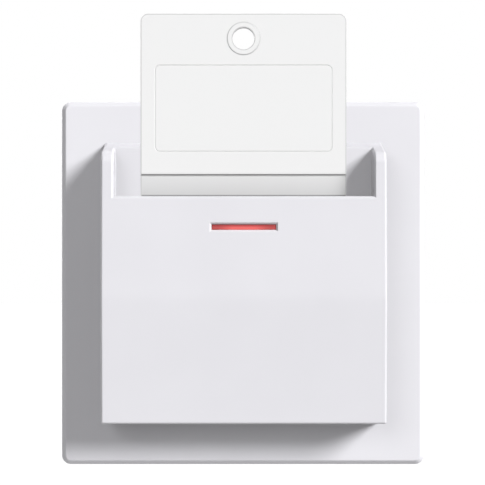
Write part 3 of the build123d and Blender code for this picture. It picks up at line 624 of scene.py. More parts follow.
@dataclass
class Studio:
    """Camera, three lights, floor and white surroundings.

    Attributes:
        eye: Place of the camera in metres, a little left of the middle.
        lens: Focal length for a 36 mm sensor.
        shift: Sideways shift that brings the frame back to the middle.
        floor_z: Height of the floor in metres.
        lights: The key light from the upper right, a fill from the left and a light from
            behind, which reaches nothing that the camera sees.
        fill_light: Strength of the even light from all sides.
    """

    eye: tuple[float, float, float] = (-0.0048, -0.345, 0.00907)
    lens: float = 111.8
    shift: float = 0.0432
    floor_z: float = -0.17
    lights: tuple[SoftLight, ...] = (
        SoftLight("key", (1.26, -1.0, 0.82), 22.0, 3.56),
        SoftLight("fill", (-0.45, -1.0, 0.4), 28.0, 0.57),
        SoftLight("back", (-0.5, 1.0, 0.6), 60.0, 2.2),
    )
    fill_light: float = 0.01

    def camera(self) -> None:
        """Put the camera in front, level and square to the wall."""
        data = bpy.data.cameras.new("camera")
        data.lens = self.lens
        data.sensor_width = 36.0
        data.shift_x = self.shift
        data.clip_start = 0.01
        data.clip_end = 20.0
        camera = bpy.data.objects.new("camera", data)
        camera.location = self.eye
        camera.rotation_euler = (math.radians(90), 0.0, 0.0)
        bpy.context.scene.collection.objects.link(camera)
        bpy.context.scene.camera = camera

    def surroundings(self) -> None:
        """White to the eye and in reflections, and an even fill for everything else."""
        world = bpy.data.worlds.new("studio")
        world.use_nodes = True
        tree = world.node_tree
        tree.nodes.clear()
        even = add(tree, "Background", {"Color": linear("FFFFFF"), "Strength": self.fill_light})
        white = add(tree, "Background", {"Color": linear("FFFFFF"), "Strength": 1.0})
        mixed = add(tree, "MixShader", links={0: seen(tree), 1: even.outputs[0],
                                            2: white.outputs[0]})
        add(tree, "OutputWorld", links={"Surface": mixed.outputs[0]})
        bpy.context.scene.world = world

    def floor(self) -> None:
        """Lay a wide pale floor below the switch."""
        half = 4.0
        corners = [(-half, -half), (half, -half), (half, half), (-half, half)]
        mesh = bpy.data.meshes.new("floor")
        mesh.from_pydata([(x, y, self.floor_z) for x, y in corners], [], [(0, 1, 2, 3)])
        floor = bpy.data.objects.new("floor", mesh)
        bpy.context.scene.collection.objects.link(floor)
        mesh.materials.append(StudioBoard().make())

    def build(self) -> None:
        """Set up everything round the object."""
        bpy.context.scene.view_settings.view_transform = "Standard"
        self.camera()
        for light in self.lights:
            light.build()
        self.surroundings()
        self.floor()
        log.info("studio: camera, lights, surroundings and floor")


# Meshes


def quads_of(grid: np.ndarray, ring: bool) -> Shell:
    """Join a row of closed loops by quads.

    Args:
        grid: An array of loops by points by three.
        ring: Whether the last loop joins the first.

    Returns:
        The points and the quads.
    """
    rows, columns = grid.shape[:2]
    row = np.arange(rows if ring else rows - 1)[:, None]
    column = np.arange(columns)[None, :]
    below, after = (row + 1) % rows, (column + 1) % columns
    quads = np.stack([row * columns + column, row * columns + after,
                      below * columns + after, below * columns + column], axis=-1)
    return grid.reshape(-1, 3), quads.reshape(-1, 4)


def loft(loops: np.ndarray) -> Shell:
    """Skin a row of closed loops and close both ends.

    Each loop is joined to the next by quads, and a point in the middle of the first and of
    the last loop, repeated round it, closes the end once doubles are merged.

    Args:
        loops: An array of loops by points by three.

    Returns:
        A closed shell.
    """
    ends = [np.repeat(loops[i].mean(axis=0)[None, None], loops.shape[1], axis=1) for i in (0, -1)]
    return quads_of(np.concatenate([ends[0], loops, ends[1]]), False)


def tube(path: np.ndarray, first: np.ndarray, radius: float, sides: int) -> Shell:
    """Sweep a round wire along a path and close its ends.

    A ring of the wire lies square to the path: its points are the path plus the radius
    times a cosine along the first direction and a sine along the one square to both.

    Args:
        path: Points of the wire's middle in millimetres.
        first: A direction square to the path at each of its points.
        radius: Radius of the wire in millimetres.
        sides: Points round the wire.

    Returns:
        A closed shell in metres.
    """
    tangent = np.gradient(path, axis=0)
    tangent /= np.linalg.norm(tangent, axis=1, keepdims=True)
    second = np.cross(tangent, first)
    turn = np.linspace(0, 2 * math.pi, sides, endpoint=False)[None, :, None]
    loops = path[:, None] + radius * (np.cos(turn) * first[:, None]
                                      + np.sin(turn) * second[:, None])
    return loft(loops * MM)


def join(shells: list[Shell]) -> Shell:
    """Put several shells into one array of points and one of faces.

    Args:
        shells: The shells.

    Returns:
        All of them together.
    """
    starts = np.cumsum([0] + [len(points) for points, _ in shells[:-1]])
    points = np.concatenate([points for points, _ in shells])
    faces = np.concatenate([faces + first for first, (_, faces) in zip(starts, shells)])
    return points, faces


def show(name: str, shell: Shell, sharp_deg: float = 35.0) -> bpy.types.Object:
    """Make a mesh object at the origin from a shell.

    Args:
        name: The piece's name.
        shell: Its points and faces.
        sharp_deg: Edges that turn by more than this stay sharp.

    Returns:
        The new object.
    """
    mesh = bpy.data.meshes.new(name)
    mesh.from_pydata(shell[0].tolist(), [], shell[1].tolist())
    work = bmesh.new()
    work.from_mesh(mesh)
    bmesh.ops.remove_doubles(work, verts=work.verts, dist=1e-7)
    bmesh.ops.recalc_face_normals(work, faces=work.faces)
    work.to_mesh(mesh)
    work.free()
    soften(mesh, sharp_deg)
    piece = bpy.data.objects.new(name, mesh)
    bpy.context.scene.collection.objects.link(piece)
    return piece


def soften(mesh: bpy.types.Mesh, sharp_deg: float) -> None:
    """Shade a mesh smooth apart from its sharp edges.

    Args:
        mesh: The mesh.
        sharp_deg: Edges that turn by more than this stay sharp.
    """
    mesh.polygons.foreach_set("use_smooth", np.ones(len(mesh.polygons), bool))
    mesh.set_sharp_from_angle(angle=math.radians(sharp_deg))
    mesh.update()


def rounded_square(half: np.ndarray, corner: np.ndarray, steps: int) -> np.ndarray:
    """Walk round squares or rectangles with rounded corners.

    A corner's points are its centre plus the radius times the cosine and sine of an angle
    that runs through a quarter turn, and the four corners follow each other.

    Args:
        half: Half the width and half the height of each one, as rows of two.
        corner: Corner radius of each one, as a column.
        steps: Points per corner.

    Returns:
        An array of loops by points by two.
    """
    quarter = np.linspace(0, math.pi / 2, steps)
    angle = (np.arange(4)[:, None] * math.pi / 2 + quarter).ravel()
    sign_x = np.repeat([1, -1, -1, 1], steps)
    sign_z = np.repeat([1, 1, -1, -1], steps)
    return np.stack([sign_x * (half[:, :1] - corner) + corner * np.cos(angle),
                     sign_z * (half[:, 1:] - corner) + corner * np.sin(angle)], axis=-1)


def slab(levels: list[tuple[float, float, float, float]], centre: tuple[float, float],
         steps: int = 5) -> Shell:
    """Stack rounded rectangles that face the viewer into one closed block.

    Args:
        levels: Rows of half width, half height, corner radius and standoff, in millimetres.
        centre: Middle of the rectangles across and up, in millimetres.
        steps: Points per corner.

    Returns:
        A closed shell in metres.
    """
    table = np.array(levels)
    flat = rounded_square(table[:, :2], table[:, 2:3], steps) + np.array(centre)
    height = np.broadcast_to(-table[:, 3:4], flat.shape[:2])
    return loft(np.stack([flat[..., 0], height, flat[..., 1]], axis=-1) * MM)


def merged_copy(node: str, name: str, round_mm: float, sharp_deg: float = 28.0
                ) -> bpy.types.Object:
    """Copy a CAD node's mesh, merge it and round its edges.

    Args:
        node: The CAD node.
        name: The new piece's name.
        round_mm: Width of the rounding in millimetres.
        sharp_deg: Edges that turn by more than this are rounded.

    Returns:
        The new object.
    """
    mesh = frame["nodes"][node].data.copy()
    mesh.materials.clear()
    work = bmesh.new()
    work.from_mesh(mesh)
    bmesh.ops.remove_doubles(work, verts=work.verts, dist=0.002 * MM)
    bmesh.ops.dissolve_limit(work, angle_limit=math.radians(0.5), verts=work.verts,
                             edges=work.edges)
    work.to_mesh(mesh)
    work.free()
    if "custom_normal" in mesh.attributes:
        mesh.attributes.remove(mesh.attributes["custom_normal"])
    soften(mesh, sharp_deg)
    piece = bpy.data.objects.new(name, mesh)
    bpy.context.scene.collection.objects.link(piece)
    bevel = piece.modifiers.new("edges", "BEVEL")
    bevel.width = round_mm * MM
    bevel.segments = 3
    bevel.limit_method = "ANGLE"
    bevel.angle_limit = math.radians(sharp_deg)
    bevel.use_clamp_overlap = False
    weighted = piece.modifiers.new("flat faces", "WEIGHTED_NORMAL")
    weighted.keep_sharp = True
    weighted.weight = 100
    return piece


def points_of(mesh: bpy.types.Mesh) -> np.ndarray:
    """Read the points of a mesh in metres, as rows of three."""
    flat = np.empty(len(mesh.vertices) * 3)
    mesh.vertices.foreach_get("co", flat)
    return flat.reshape(-1, 3)


def node_points(node: str) -> np.ndarray:
    """Read the points of a CAD node in millimetres."""
    return points_of(frame["nodes"][node].data) / MM


def in_mm(box: tuple) -> tuple[np.ndarray, np.ndarray]:
    """Give the low and the high corner of a box in metres in millimetres."""
    low, high = box
    return np.array(low) / MM, np.array(high) / MM


BODY_OF = {node: body for body, nodes in frame["record"]["behaviour"]["bodies"].items()
           for node in nodes}
SLOT_OF = {row["node"]: row["material_slot"] for row in frame["record"]["subparts"]}


def place_for(piece: bpy.types.Object, node: str, finishes: Finishes,
              slot: str | None = None) -> bpy.types.Object:
    """Let a finished piece stand for a CAD node.

    Args:
        piece: The piece.
        node: The CAD node that it replaces and whose body it rides on.
        finishes: Materials by the record's slot.
        slot: Another slot than the node's own.

    Returns:
        The piece.
    """
    slot = slot or SLOT_OF[node]
    piece.data.materials.clear()
    piece.data.materials.append(finishes[slot])
    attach(piece, BODY_OF[node])
    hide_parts(node)
    log.info("%s stands for %s on %s", piece.name, node, BODY_OF[node])
    return piece


# Sub-assemblies


@dataclass
class CoverFrame:
    """The square cover frame.

    Attributes:
        side: Outer side.
        depth: How far it stands off the wall.
        bevel: Width of the bevel round its face.
        corner: Corner radius seen from the front.
        band: Width of the face up to the window.
        wall: Thickness of the outer wall.
        skin: Thickness of the face.
        rim: Thickness of the rim round the window.
        rim_rear: How far the rim stays off the wall.
        rib: Thickness of the ribs behind the face.
        rib_spread: Distance of the ribs from the middle of a side.
        edge: Width of the rounding of the bevel's edges.
        corner_steps: Points per corner.
    """

    side: float = 81.0
    depth: float = 9.0
    bevel: float = 0.95
    corner: float = 2.0
    band: float = 12.8
    wall: float = 2.0
    skin: float = 2.2
    rim: float = 1.6
    rim_rear: float = 4.0
    rib: float = 1.2
    rib_spread: float = 15.0
    edge: float = 0.14
    corner_steps: int = 14

    def section(self) -> np.ndarray:
        """Give the closed section of the band.

        Returns:
            Rows of the distance in from the outer edge and the standoff from the wall.
        """
        r, s = self.edge, math.sqrt(0.5) * self.edge
        shoulder, inner = self.depth - self.bevel, self.band - self.rim
        return np.array([
            (0.0, r), (0.0, shoulder - r), (0.3 * s, shoulder + 0.1 * s), (s, shoulder + s),
            (self.bevel - s, self.depth - s), (self.bevel - 0.1 * s, self.depth - 0.3 * s),
            (self.bevel + r, self.depth), (self.bevel + 2 * r, self.depth),
            (self.band - 2 * r, self.depth), (self.band - r, self.depth),
            (self.band, self.depth - r),
            (self.band, self.rim_rear + r), (self.band - r, self.rim_rear),
            (inner + r, self.rim_rear), (inner, self.rim_rear + r),
            (inner, self.depth - self.skin), (self.wall, self.depth - self.skin),
            (self.wall, r), (self.wall - r, 0.0), (r, 0.0)])

    def ribs(self) -> list[Shell]:
        """Give the ribs between the outer wall and the rim of the window.

        A rib is a block from the wall to the rim, given first for the right side and turned
        about the middle by quarter turns for the others.

        Returns:
            One shell per rib.
        """
        inside = self.side / 2 - self.wall
        rim = self.side / 2 - self.band + self.rim
        half = (inside - rim) / 2 + self.edge
        soft, overlap = 0.1, 0.2
        shells = []
        for spread in (-self.rib_spread, self.rib_spread):
            points, faces = slab([(half, self.rib / 2 - soft, soft, self.rim_rear),
                                  (half, self.rib / 2, soft, self.rim_rear + soft),
                                  (half, self.rib / 2, soft, self.depth - self.skin + overlap)],
                                 ((inside + rim) / 2, spread), 3)
            for quarter in range(4):
                turn = quarter * math.pi / 2
                x = points[:, 0] * math.cos(turn) - points[:, 2] * math.sin(turn)
                z = points[:, 0] * math.sin(turn) + points[:, 2] * math.cos(turn)
                shells.append((np.stack([x, points[:, 1], z], axis=-1), faces))
        return shells

    def build(self, finishes: Finishes) -> None:
        """Carry the section round the square.

        A point of the section at distance d from the outer edge runs round a square whose
        half side and corner radius are both smaller by d.

        Args:
            finishes: Materials by the record's slot.
        """
        section = self.section()
        inwards = section[:, :1]
        radius = np.maximum(self.corner - inwards, 0.02)
        half = np.repeat(self.side / 2 - inwards, 2, axis=1)
        ring = rounded_square(half, radius, self.corner_steps)
        height = np.broadcast_to(-section[:, 1:2], ring.shape[:2])
        band = quads_of(np.stack([ring[..., 0], height, ring[..., 1]], axis=-1) * MM, True)
        piece = show("cover_frame_moulding", join([band] + self.ribs()), 40.0)
        place_for(piece, "cover_frame", finishes)


@dataclass
class IndicatorLens:
    """The red bar in the front panel, with a slightly crowned face.

    Attributes:
        flange: Thickness of the flange behind the panel.
        flange_rim: How far the flange reaches past the bar.
        crown: Height of the crown of the face.
        flange_corner: Corner radius of the flange.
        corner: Corner radius of the bar.
    """

    flange: float = 0.8
    flange_rim: float = 1.3
    crown: float = 0.12
    flange_corner: float = 0.3
    corner: float = 0.12

    def build(self, finishes: Finishes) -> None:
        """Stack the flange, the bar and its crowned face.

        Towards the middle of the face the rectangles shrink from both sides, and their
        height follows a circle's arc over half the bar's height.

        Args:
            finishes: Materials by the record's slot.
        """
        low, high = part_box("indicator_lens")
        rear, front = -high[1] / MM, -low[1] / MM
        half_x = (high[0] - low[0]) / MM / 2
        half_z = (high[2] - low[2]) / MM / 2
        bar_x, bar_z = half_x - self.flange_rim, half_z - self.flange_rim
        step = rear + self.flange
        levels = [(half_x, half_z, self.flange_corner, rear),
                  (half_x, half_z, self.flange_corner, step), (bar_x, bar_z, self.corner, step)]
        share = np.linspace(0, 1, 7)[:-1]
        inset = share * bar_z
        height = front - self.crown * (1 - np.sqrt(1 - (1 - share) ** 2))
        levels += [(bar_x - i, bar_z - i, max(self.corner - i, 0.01), h)
                   for i, h in zip(inset, height)]
        centre = ((low[0] + high[0]) / MM / 2, (low[2] + high[2]) / MM / 2)
        place_for(show("indicator_lens_bar", slab(levels, centre), 50.0), "indicator_lens",
                  finishes)


@dataclass
class KeyTag:
    """The plastic tag that stands for the room card, with its bare label field.

    Attributes:
        rounding: Width of the rounding of its edges.
        label: Width and height of the label field.
        label_bottom: Height of the field over the handle's lower edge.
        label_depth: Depth of the recess that holds the field.
        groove: Width of the groove left round the field.
        label_edge: Width of the bevel of the field's edges.
        corner: Corner radius of the recess.
        hole_drop: Middle of the hole below the top.
        hole: Radius of the hole.
        ring: Radius of the raised ring round the hole.
        tag_corner: Corner radius of the tag.
        step_bevel: Height of the bevel under the handle.
        step_drop: How far the bevel's lower edge goes down.
        bevel_drop: How far its upper edge goes down.
        mouth_drop: Edge of the holder's mouth below the holder's top.
        tolerance: How far a point may lie from a row of points and count as part of it.
    """

    rounding: float = 0.07
    label: tuple[float, float] = (38.7, 18.94)
    label_bottom: float = 4.93
    label_depth: float = 0.2
    groove: float = 0.06
    label_edge: float = 0.09
    corner: float = 1.0
    hole_drop: float = 5.4
    hole: float = 2.4
    ring: float = 3.56
    tag_corner: float = 1.65
    step_bevel: float = 0.25
    step_drop: float = 0.37
    bevel_drop: float = 0.17
    mouth_drop: float = 12.19
    tolerance: float = 0.02

    def __post_init__(self) -> None:
        """Read where the tag and its steps are from the CAD node."""
        self.low, self.high = in_mm(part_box("key_tag"))
        points = node_points("key_tag")
        end_band, step_least = 0.01, 0.05
        top = points[points[:, 2] > self.high[2] - end_band]
        blade = points[points[:, 2] < self.low[2] + end_band]
        self.face = float(-top[:, 1].min())
        raised = -points[:, 1] > float(-blade[:, 1].min()) + step_least
        self.step = float(points[raised][:, 2].min())
        self.middle = float(self.low[0] + self.high[0]) / 2

    def finish(self) -> bpy.types.Material:
        """Build the tag's own finish.

        Returns:
            Its material.
        """
        size = self.high - self.low
        outside = Outline((self.middle, float(self.low[2] + self.high[2]) / 2),
                          (float(size[0]), float(size[2])), self.tag_corner)
        # after the face colour come the painted edge shade, the painted shade of the blade's lower
        # part and the painted shadow lines
        return CardPlastic("ABS moulded fine satin white", "F7F7F7", "D4D4D4", "D6D6D7", "969696",
                           outside, (self.middle, float(self.high[2]) - self.hole_drop),
                           self.hole, self.ring, self.step,
                           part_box("card_holder")[1][2] / MM - self.mouth_drop).make()

    def build(self, finishes: Finishes) -> None:
        """Round the tag's edges and lay the label field in its recess.

        The field fills the recess up to the face, with bevelled edges, so only a fine groove
        stays round it. The thin tag casts no shadow, as in the flat light of the photograph.

        Args:
            finishes: Materials by the record's slot.
        """
        tag = place_for(merged_copy("key_tag", "key_tag_rounded", self.rounding), "key_tag",
                        finishes)
        self.lower_step(tag.data)
        half_x, half_z = (side / 2 - self.groove for side in self.label)
        floor, edge = self.face - self.label_depth, self.label_edge
        sunk = 0.1
        levels = [(half_x, half_z, self.corner, floor - sunk),
                  (half_x, half_z, self.corner, self.face - edge),
                  (half_x - edge, half_z - edge, self.corner - edge, self.face)]
        centre = (self.middle, self.step + self.label_bottom + self.label[1] / 2)
        label = place_for(show("key_tag_label", slab(levels, centre, 8)), "key_tag", finishes)
        for piece in (tag, label):
            piece.visible_shadow = False
            piece.visible_diffuse = False

    def lower_step(self, mesh: bpy.types.Mesh) -> None:
        """Bring the handle's lower edge down and make its bevel taller.

        The rows of points at the bevel's two edges each go down by their own amount.

        Args:
            mesh: The tag's mesh.
        """
        points = points_of(mesh)
        height = points[:, 2] / MM - self.step
        points[np.abs(height) < self.tolerance, 2] -= self.step_drop * MM
        points[np.abs(height - self.step_bevel) < self.tolerance, 2] -= self.bevel_drop * MM
        mesh.vertices.foreach_set("co", points.ravel())
        mesh.update()


@dataclass
class SlottedScrew:
    """A screw with a thread and a slotted head or end.

    Attributes:
        origin: Tip of the shank in millimetres.
        along: Direction from the tip to the head.
        slot_along: Direction of the slot.
        shank: Radius over the thread.
        length: Length of the threaded part.
        head: Radius of the head, or of the shank for a screw with no head.
        head_height: Height of the head with its slotted part.
        slot_width: Width of the slot.
        slot_depth: Depth of the slot.
        pitch: Distance from thread to thread.
        columns: Points round the screw.
    """

    origin: tuple[float, float, float]
    along: tuple[float, float, float]
    slot_along: tuple[float, float, float]
    shank: float
    length: float
    head: float
    head_height: float
    slot_width: float = 0.8
    slot_depth: float = 0.8
    pitch: float = 0.75
    columns: int = 48

    def place(self, radius: np.ndarray, angle: np.ndarray, height: np.ndarray) -> np.ndarray:
        """Turn radius, angle and height along the screw into points.

        Args:
            radius: Distance from the axis in millimetres.
            angle: Angle from the slot's direction.
            height: Height above the tip in millimetres.

        Returns:
            Points in metres.
        """
        axis, first = np.array(self.along), np.array(self.slot_along)
        second = np.cross(axis, first)
        side = np.cos(angle)[..., None] * first + np.sin(angle)[..., None] * second
        points = np.array(self.origin) + radius[..., None] * side + height[..., None] * axis
        return points * MM

    def thread(self) -> Shell:
        """Give the shank with its thread.

        The radius at a height and an angle follows a wave with flats, whose phase is the
        height over the pitch less the angle over a full turn. It fades out at both ends.

        Returns:
            A closed shell.
        """
        rows_per_turn, ridge_slope, ridge_start = 8, 1.9, 0.4
        rows = int(self.length / self.pitch * rows_per_turn) + 1
        height, angle = np.meshgrid(np.linspace(0, self.length, rows),
                                    np.linspace(0, 2 * math.pi, self.columns, endpoint=False),
                                    indexing="ij")
        phase = (height / self.pitch - angle / (2 * math.pi)) % 1.0
        ridge = np.clip(ridge_slope * (1 - np.abs(2 * phase - 1)) - ridge_start, 0, 1)
        depth = 0.55 * self.pitch
        start_fade = np.clip(height / self.pitch, 0, 1)
        root = self.shank - depth * 0.75
        radius = root + (self.shank - root) * ridge * start_fade
        radius -= 0.5 * depth * np.clip(1 - 2 * height / self.pitch, 0, 1)
        return loft(self.place(radius, angle, height))

    def disc(self) -> Shell:
        """Give the part of the head below the slot.

        Returns:
            A closed shell.
        """
        top = self.length + self.head_height - self.slot_depth
        chamfer, lip = 0.15, 0.04
        rows = np.array([(self.head - chamfer, self.length),
                         (self.head - lip, self.length + lip),
                         (self.head, self.length + chamfer), (self.head, top)])
        angle = np.linspace(0, 2 * math.pi, self.columns, endpoint=False)[None, :]
        wide = np.broadcast_to(angle, (len(rows), self.columns))
        return loft(self.place(rows[:, :1] + 0 * wide, wide, rows[:, 1:] + 0 * wide))

    def half_top(self, side: int) -> Shell:
        """Give one of the two parts beside the slot, with its edges rounded.

        A level is the part of a disc past a chord: the chord's ends are at the arc cosine
        of its distance over the radius, and both radius and distance shrink by the inset.

        Args:
            side: One or minus one.

        Returns:
            A closed shell.
        """
        base = self.length + self.head_height - self.slot_depth
        top = self.length + self.head_height
        lip, chamfer = 0.05, 0.18
        inset = np.array([0.0, 0.0, lip, chamfer])[:, None]
        height = np.array([base, top - chamfer, top - lip, top])[:, None]
        radius, chord = self.head - inset, self.slot_width / 2 + inset
        reach = np.arccos(chord / radius)
        arc = math.pi / 2 + reach * np.linspace(-1, 1, self.columns // 2)[None, :]
        spread = radius + 0 * arc
        line = np.linspace(1, -1, 10)[None, 1:-1]
        foot = -np.sin(reach) * radius * line
        line_radius = np.hypot(foot, chord)
        line_angle = np.arctan2(chord + 0 * foot, foot)
        angle = np.concatenate([arc, line_angle], axis=1)
        spread = np.concatenate([spread, line_radius], axis=1)
        return loft(self.place(spread, side * angle, height + 0 * angle))

    def shells(self) -> list[Shell]:
        """Give all parts of the screw."""
        parts = [self.thread(), self.half_top(1), self.half_top(-1)]
        return parts + ([self.disc()] if self.head_height > self.slot_depth + 0.01 else [])


@dataclass
class Screws:
    """All slotted screws of the switch.

    Attributes:
        claw_shank: Radius of a claw screw.
        claw_head: Radius of its head.
        claw_head_height: Height of its head.
        clamp_shank: Radius of the screws between cover and base.
        clamp_head: Radius of their heads.
        clamp_head_height: Height of their heads.
        terminal_radius: Radius of the headless terminal screws.
        slot: Depth of the slots.
        claw_pitch: Distance from thread to thread of a claw screw.
        clamp_pitch: The same for the screws between cover and base.
        terminal_pitch: The same for the terminal screws.
    """

    claw_shank: float = 1.5
    claw_head: float = 2.3
    claw_head_height: float = 1.8
    clamp_shank: float = 1.25
    clamp_head: float = 2.3
    clamp_head_height: float = 1.6
    terminal_radius: float = 1.75
    slot: float = 0.8
    claw_pitch: float = 0.75
    clamp_pitch: float = 0.5
    terminal_pitch: float = 0.7

    def facing_screw(self, x: float, z: float, rear: float, front: float, shank: float,
                     head: float, head_height: float, pitch: float) -> list[Shell]:
        """Give a screw whose head faces the viewer.

        Args:
            x: Its place across, in millimetres.
            z: Its height, in millimetres.
            rear: Place of its tip along Y, in millimetres.
            front: Place of its head's face along Y, in millimetres.
            shank: Radius of its shank.
            head: Radius of its head.
            head_height: Height of its head.
            pitch: Distance from thread to thread.

        Returns:
            Its shells.
        """
        return SlottedScrew((x, rear, z), (0, -1, 0), (1, 0, 0), shank,
                            rear - front - head_height, head, head_height,
                            pitch=pitch).shells()

    def build(self, finishes: Finishes) -> None:
        """Build the claw screws, the clamping screws and the terminal screws.

        Args:
            finishes: Materials by the record's slot.
        """
        for side in ("left", "right"):
            node = f"claw_screw_{side}"
            low, high = in_mm(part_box(node))
            middle = (low + high) / 2
            shells = self.facing_screw(middle[0], middle[2], high[1], low[1], self.claw_shank,
                                       self.claw_head, self.claw_head_height,
                                       self.claw_pitch)
            place_for(show(f"{node}_threaded", join(shells)), node, finishes)
        low, high = in_mm(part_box("assembly_screws"))
        shells = []
        for x in (low[0] + self.clamp_head, high[0] - self.clamp_head):
            shells += self.facing_screw(x, (low[2] + high[2]) / 2, high[1], low[1],
                                        self.clamp_shank, self.clamp_head,
                                        self.clamp_head_height, self.clamp_pitch)
        place_for(show("assembly_screws_threaded", join(shells)), "assembly_screws", finishes)
        low, high = in_mm(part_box("terminal_screws"))
        inner = self.inner_end()
        shells = []
        for x in (low[0] + self.terminal_radius, high[0] - self.terminal_radius):
            for up, tip in ((1, inner), (-1, -inner)):
                screw = SlottedScrew((x, (low[1] + high[1]) / 2, tip), (0, 0, up), (1, 0, 0),
                                     self.terminal_radius, high[2] - inner - self.slot,
                                     self.terminal_radius, self.slot,
                                     pitch=self.terminal_pitch)
                shells += screw.shells()
        place_for(show("terminal_screws_threaded", join(shells)), "terminal_screws", finishes)

    def inner_end(self) -> float:
        """Find the inner end of the upper terminal screws, from the node's own points.

        Returns:
            The lowest height above the middle, in millimetres.
        """
        heights = node_points("terminal_screws")[:, 2]
        return float(heights[heights > 0].min())


@dataclass
class ReturnSpring:
    """The coil spring behind the contact blade, with closed end turns.

    It is drawn at its length with the tag in, and keeps that length at every pose.

    Attributes:
        wire: Radius of the wire.
        open_turns: Turns between the closed ends.
        sides: Points round the wire.
        steps: Rings of points per turn.
    """

    wire: float = 0.25
    open_turns: float = 5.0
    sides: int = 10
    steps: int = 32

    def build(self, finishes: Finishes) -> None:
        """Sweep the wire along a helix with two closed turns at its ends.

        The height grows by one wire's width over the first and the last turn and evenly in
        between.

        Args:
            finishes: Materials by the record's slot.
        """
        low, high = in_mm(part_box("return_spring"))
        middle = (low + high) / 2
        coil = (high[0] - low[0]) / 2 - self.wire
        turns = self.open_turns + 2
        turn = np.linspace(0, turns, int(turns * self.steps) + 1)
        span = high[1] - low[1] - 2 * self.wire
        closed = 2 * self.wire
        rise = np.interp(turn, [0, 1, turns - 1, turns], [0, closed, span - closed, span])
        angle = turn * 2 * math.pi
        outwards = np.stack([np.cos(angle), 0 * angle, np.sin(angle)], axis=-1)
        path = np.stack([middle[0] + coil * np.cos(angle), high[1] - self.wire - rise,
                         middle[2] + coil * np.sin(angle)], axis=-1)
        coiled = tube(path, outwards, self.wire, self.sides)
        place_for(show("return_spring_coil", coiled, 60.0), "return_spring", finishes)


@dataclass
class Lamp:
    """The lamp with its dome, and the resistor with its bent leads.

    Attributes:
        rim: How far the lamp's rim reaches past its dome.
        rim_height: Height of the rim.
        lead: Radius of the resistor's leads.
        lead_sides: Points round a lead.
        bend: Radius of the bend of a lead.
        body_length: Length of the resistor's body.
        columns: Points round the lamp.
    """

    rim: float = 0.4
    rim_height: float = 1.0
    lead: float = 0.25
    lead_sides: int = 12
    bend: float = 0.5
    body_length: float = 3.6
    columns: int = 40

    def turned(self, rows: np.ndarray, centre: np.ndarray, axis: np.ndarray, first: np.ndarray
               ) -> Shell:
        """Turn a profile about an axis.

        Args:
            rows: Rows of radius and height in millimetres.
            centre: Point of the axis at height zero.
            axis: Direction of the axis.
            first: Direction square to it where the turn starts.

        Returns:
            A closed shell.
        """
        angle = np.linspace(0, 2 * math.pi, self.columns, endpoint=False)
        second = np.cross(axis, first)
        side = np.cos(angle)[:, None] * first + np.sin(angle)[:, None] * second
        loops = centre + rows[:, 1, None, None] * axis + rows[:, 0, None, None] * side[None]
        return loft(loops * MM)

    def bulb(self, finishes: Finishes) -> None:
        """Build the lamp: its rim, its round wall and half a sphere on top.

        Args:
            finishes: Materials by the record's slot.
        """
        low, high = in_mm(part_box("lamp_led"))
        radius = (high[0] - low[0]) / 2
        dome = radius - self.rim
        height = high[1] - low[1]
        lift = np.linspace(0, math.pi / 2, 10)[:-1]
        lip = 0.05
        rows = np.concatenate([
            [(radius - lip, 0.0), (radius, lip), (radius, self.rim_height - lip),
             (radius - lip, self.rim_height), (dome, self.rim_height)],
            np.stack([dome * np.cos(lift), height - dome + dome * np.sin(lift)], axis=-1)])
        centre = np.array([(low[0] + high[0]) / 2, high[1], (low[2] + high[2]) / 2])
        shell = self.turned(rows, centre, np.array([0.0, -1.0, 0.0]), np.array([1.0, 0.0, 0.0]))
        place_for(show("lamp_led_domed", shell), "lamp_led", finishes)

    def resistor(self, finishes: Finishes) -> None:
        """Build the resistor: a body with thicker ends, and a wire bent down at both ends.

        The body's radius is that of its waist, plus a power of a sine near each end, times
        an ellipse's arc at the very end. The wire's path rises from the board, bends through
        a quarter circle and runs along the body.

        Args:
            finishes: Materials by the record's slot.
        """
        low, high = in_mm(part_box("lamp_resistor"))
        middle = (low + high) / 2
        radius = (high[2] - low[2]) / 2
        swell_from, swell_over, waist, bulge = 0.28, 0.22, 0.82, 0.18
        cap_from, cap_over = 0.42, 0.08
        along = np.linspace(-0.5, 0.5, 33)
        end = np.clip((np.abs(along) - swell_from) / swell_over, 0, 1)
        swell = waist + bulge * np.sin(math.pi * np.clip(end * 1.1, 0, 1)) ** 0.8
        past = np.clip((np.abs(along) - cap_from) / cap_over, 0, 1)
        cap = np.sqrt(np.clip(1 - past ** 2, 0.05, 1))
        rows = np.stack([radius * swell * cap, along * self.body_length], axis=-1)
        stand = low[1] + radius
        centre = np.array([middle[0], stand, middle[2]])
        body = self.turned(rows, centre, np.array([1.0, 0.0, 0.0]), np.array([0.0, 0.0, 1.0]))
        place_for(show("lamp_resistor_body", body, 60.0), "lamp_resistor", finishes)
        reach = (high[0] - low[0]) / 2 - self.lead
        quarter = np.linspace(0, math.pi / 2, 7)
        wires = []
        for side in (-1, 1):
            corner_x = reach - self.bend * (1 - np.cos(quarter))
            corner_y = stand + self.bend - self.bend * np.sin(quarter)
            path = np.concatenate([[(reach, high[1])], np.stack([corner_x, corner_y], axis=-1),
                                   [(self.body_length / 2 - 0.2, stand)]])
            points = np.stack([middle[0] + side * path[:, 0], path[:, 1],
                               np.full(len(path), middle[2])], axis=-1)
            upwards = np.broadcast_to(np.array([0.0, 0.0, 1.0]), points.shape)
            wires.append(tube(points, upwards, self.lead, self.lead_sides))
        place_for(show("lamp_resistor_leads", join(wires), 60.0), "lamp_resistor", finishes,
                  "pin_tin")

    def build(self, finishes: Finishes) -> None:
        """Build the lamp and the resistor."""
        self.bulb(finishes)
        self.resistor(finishes)


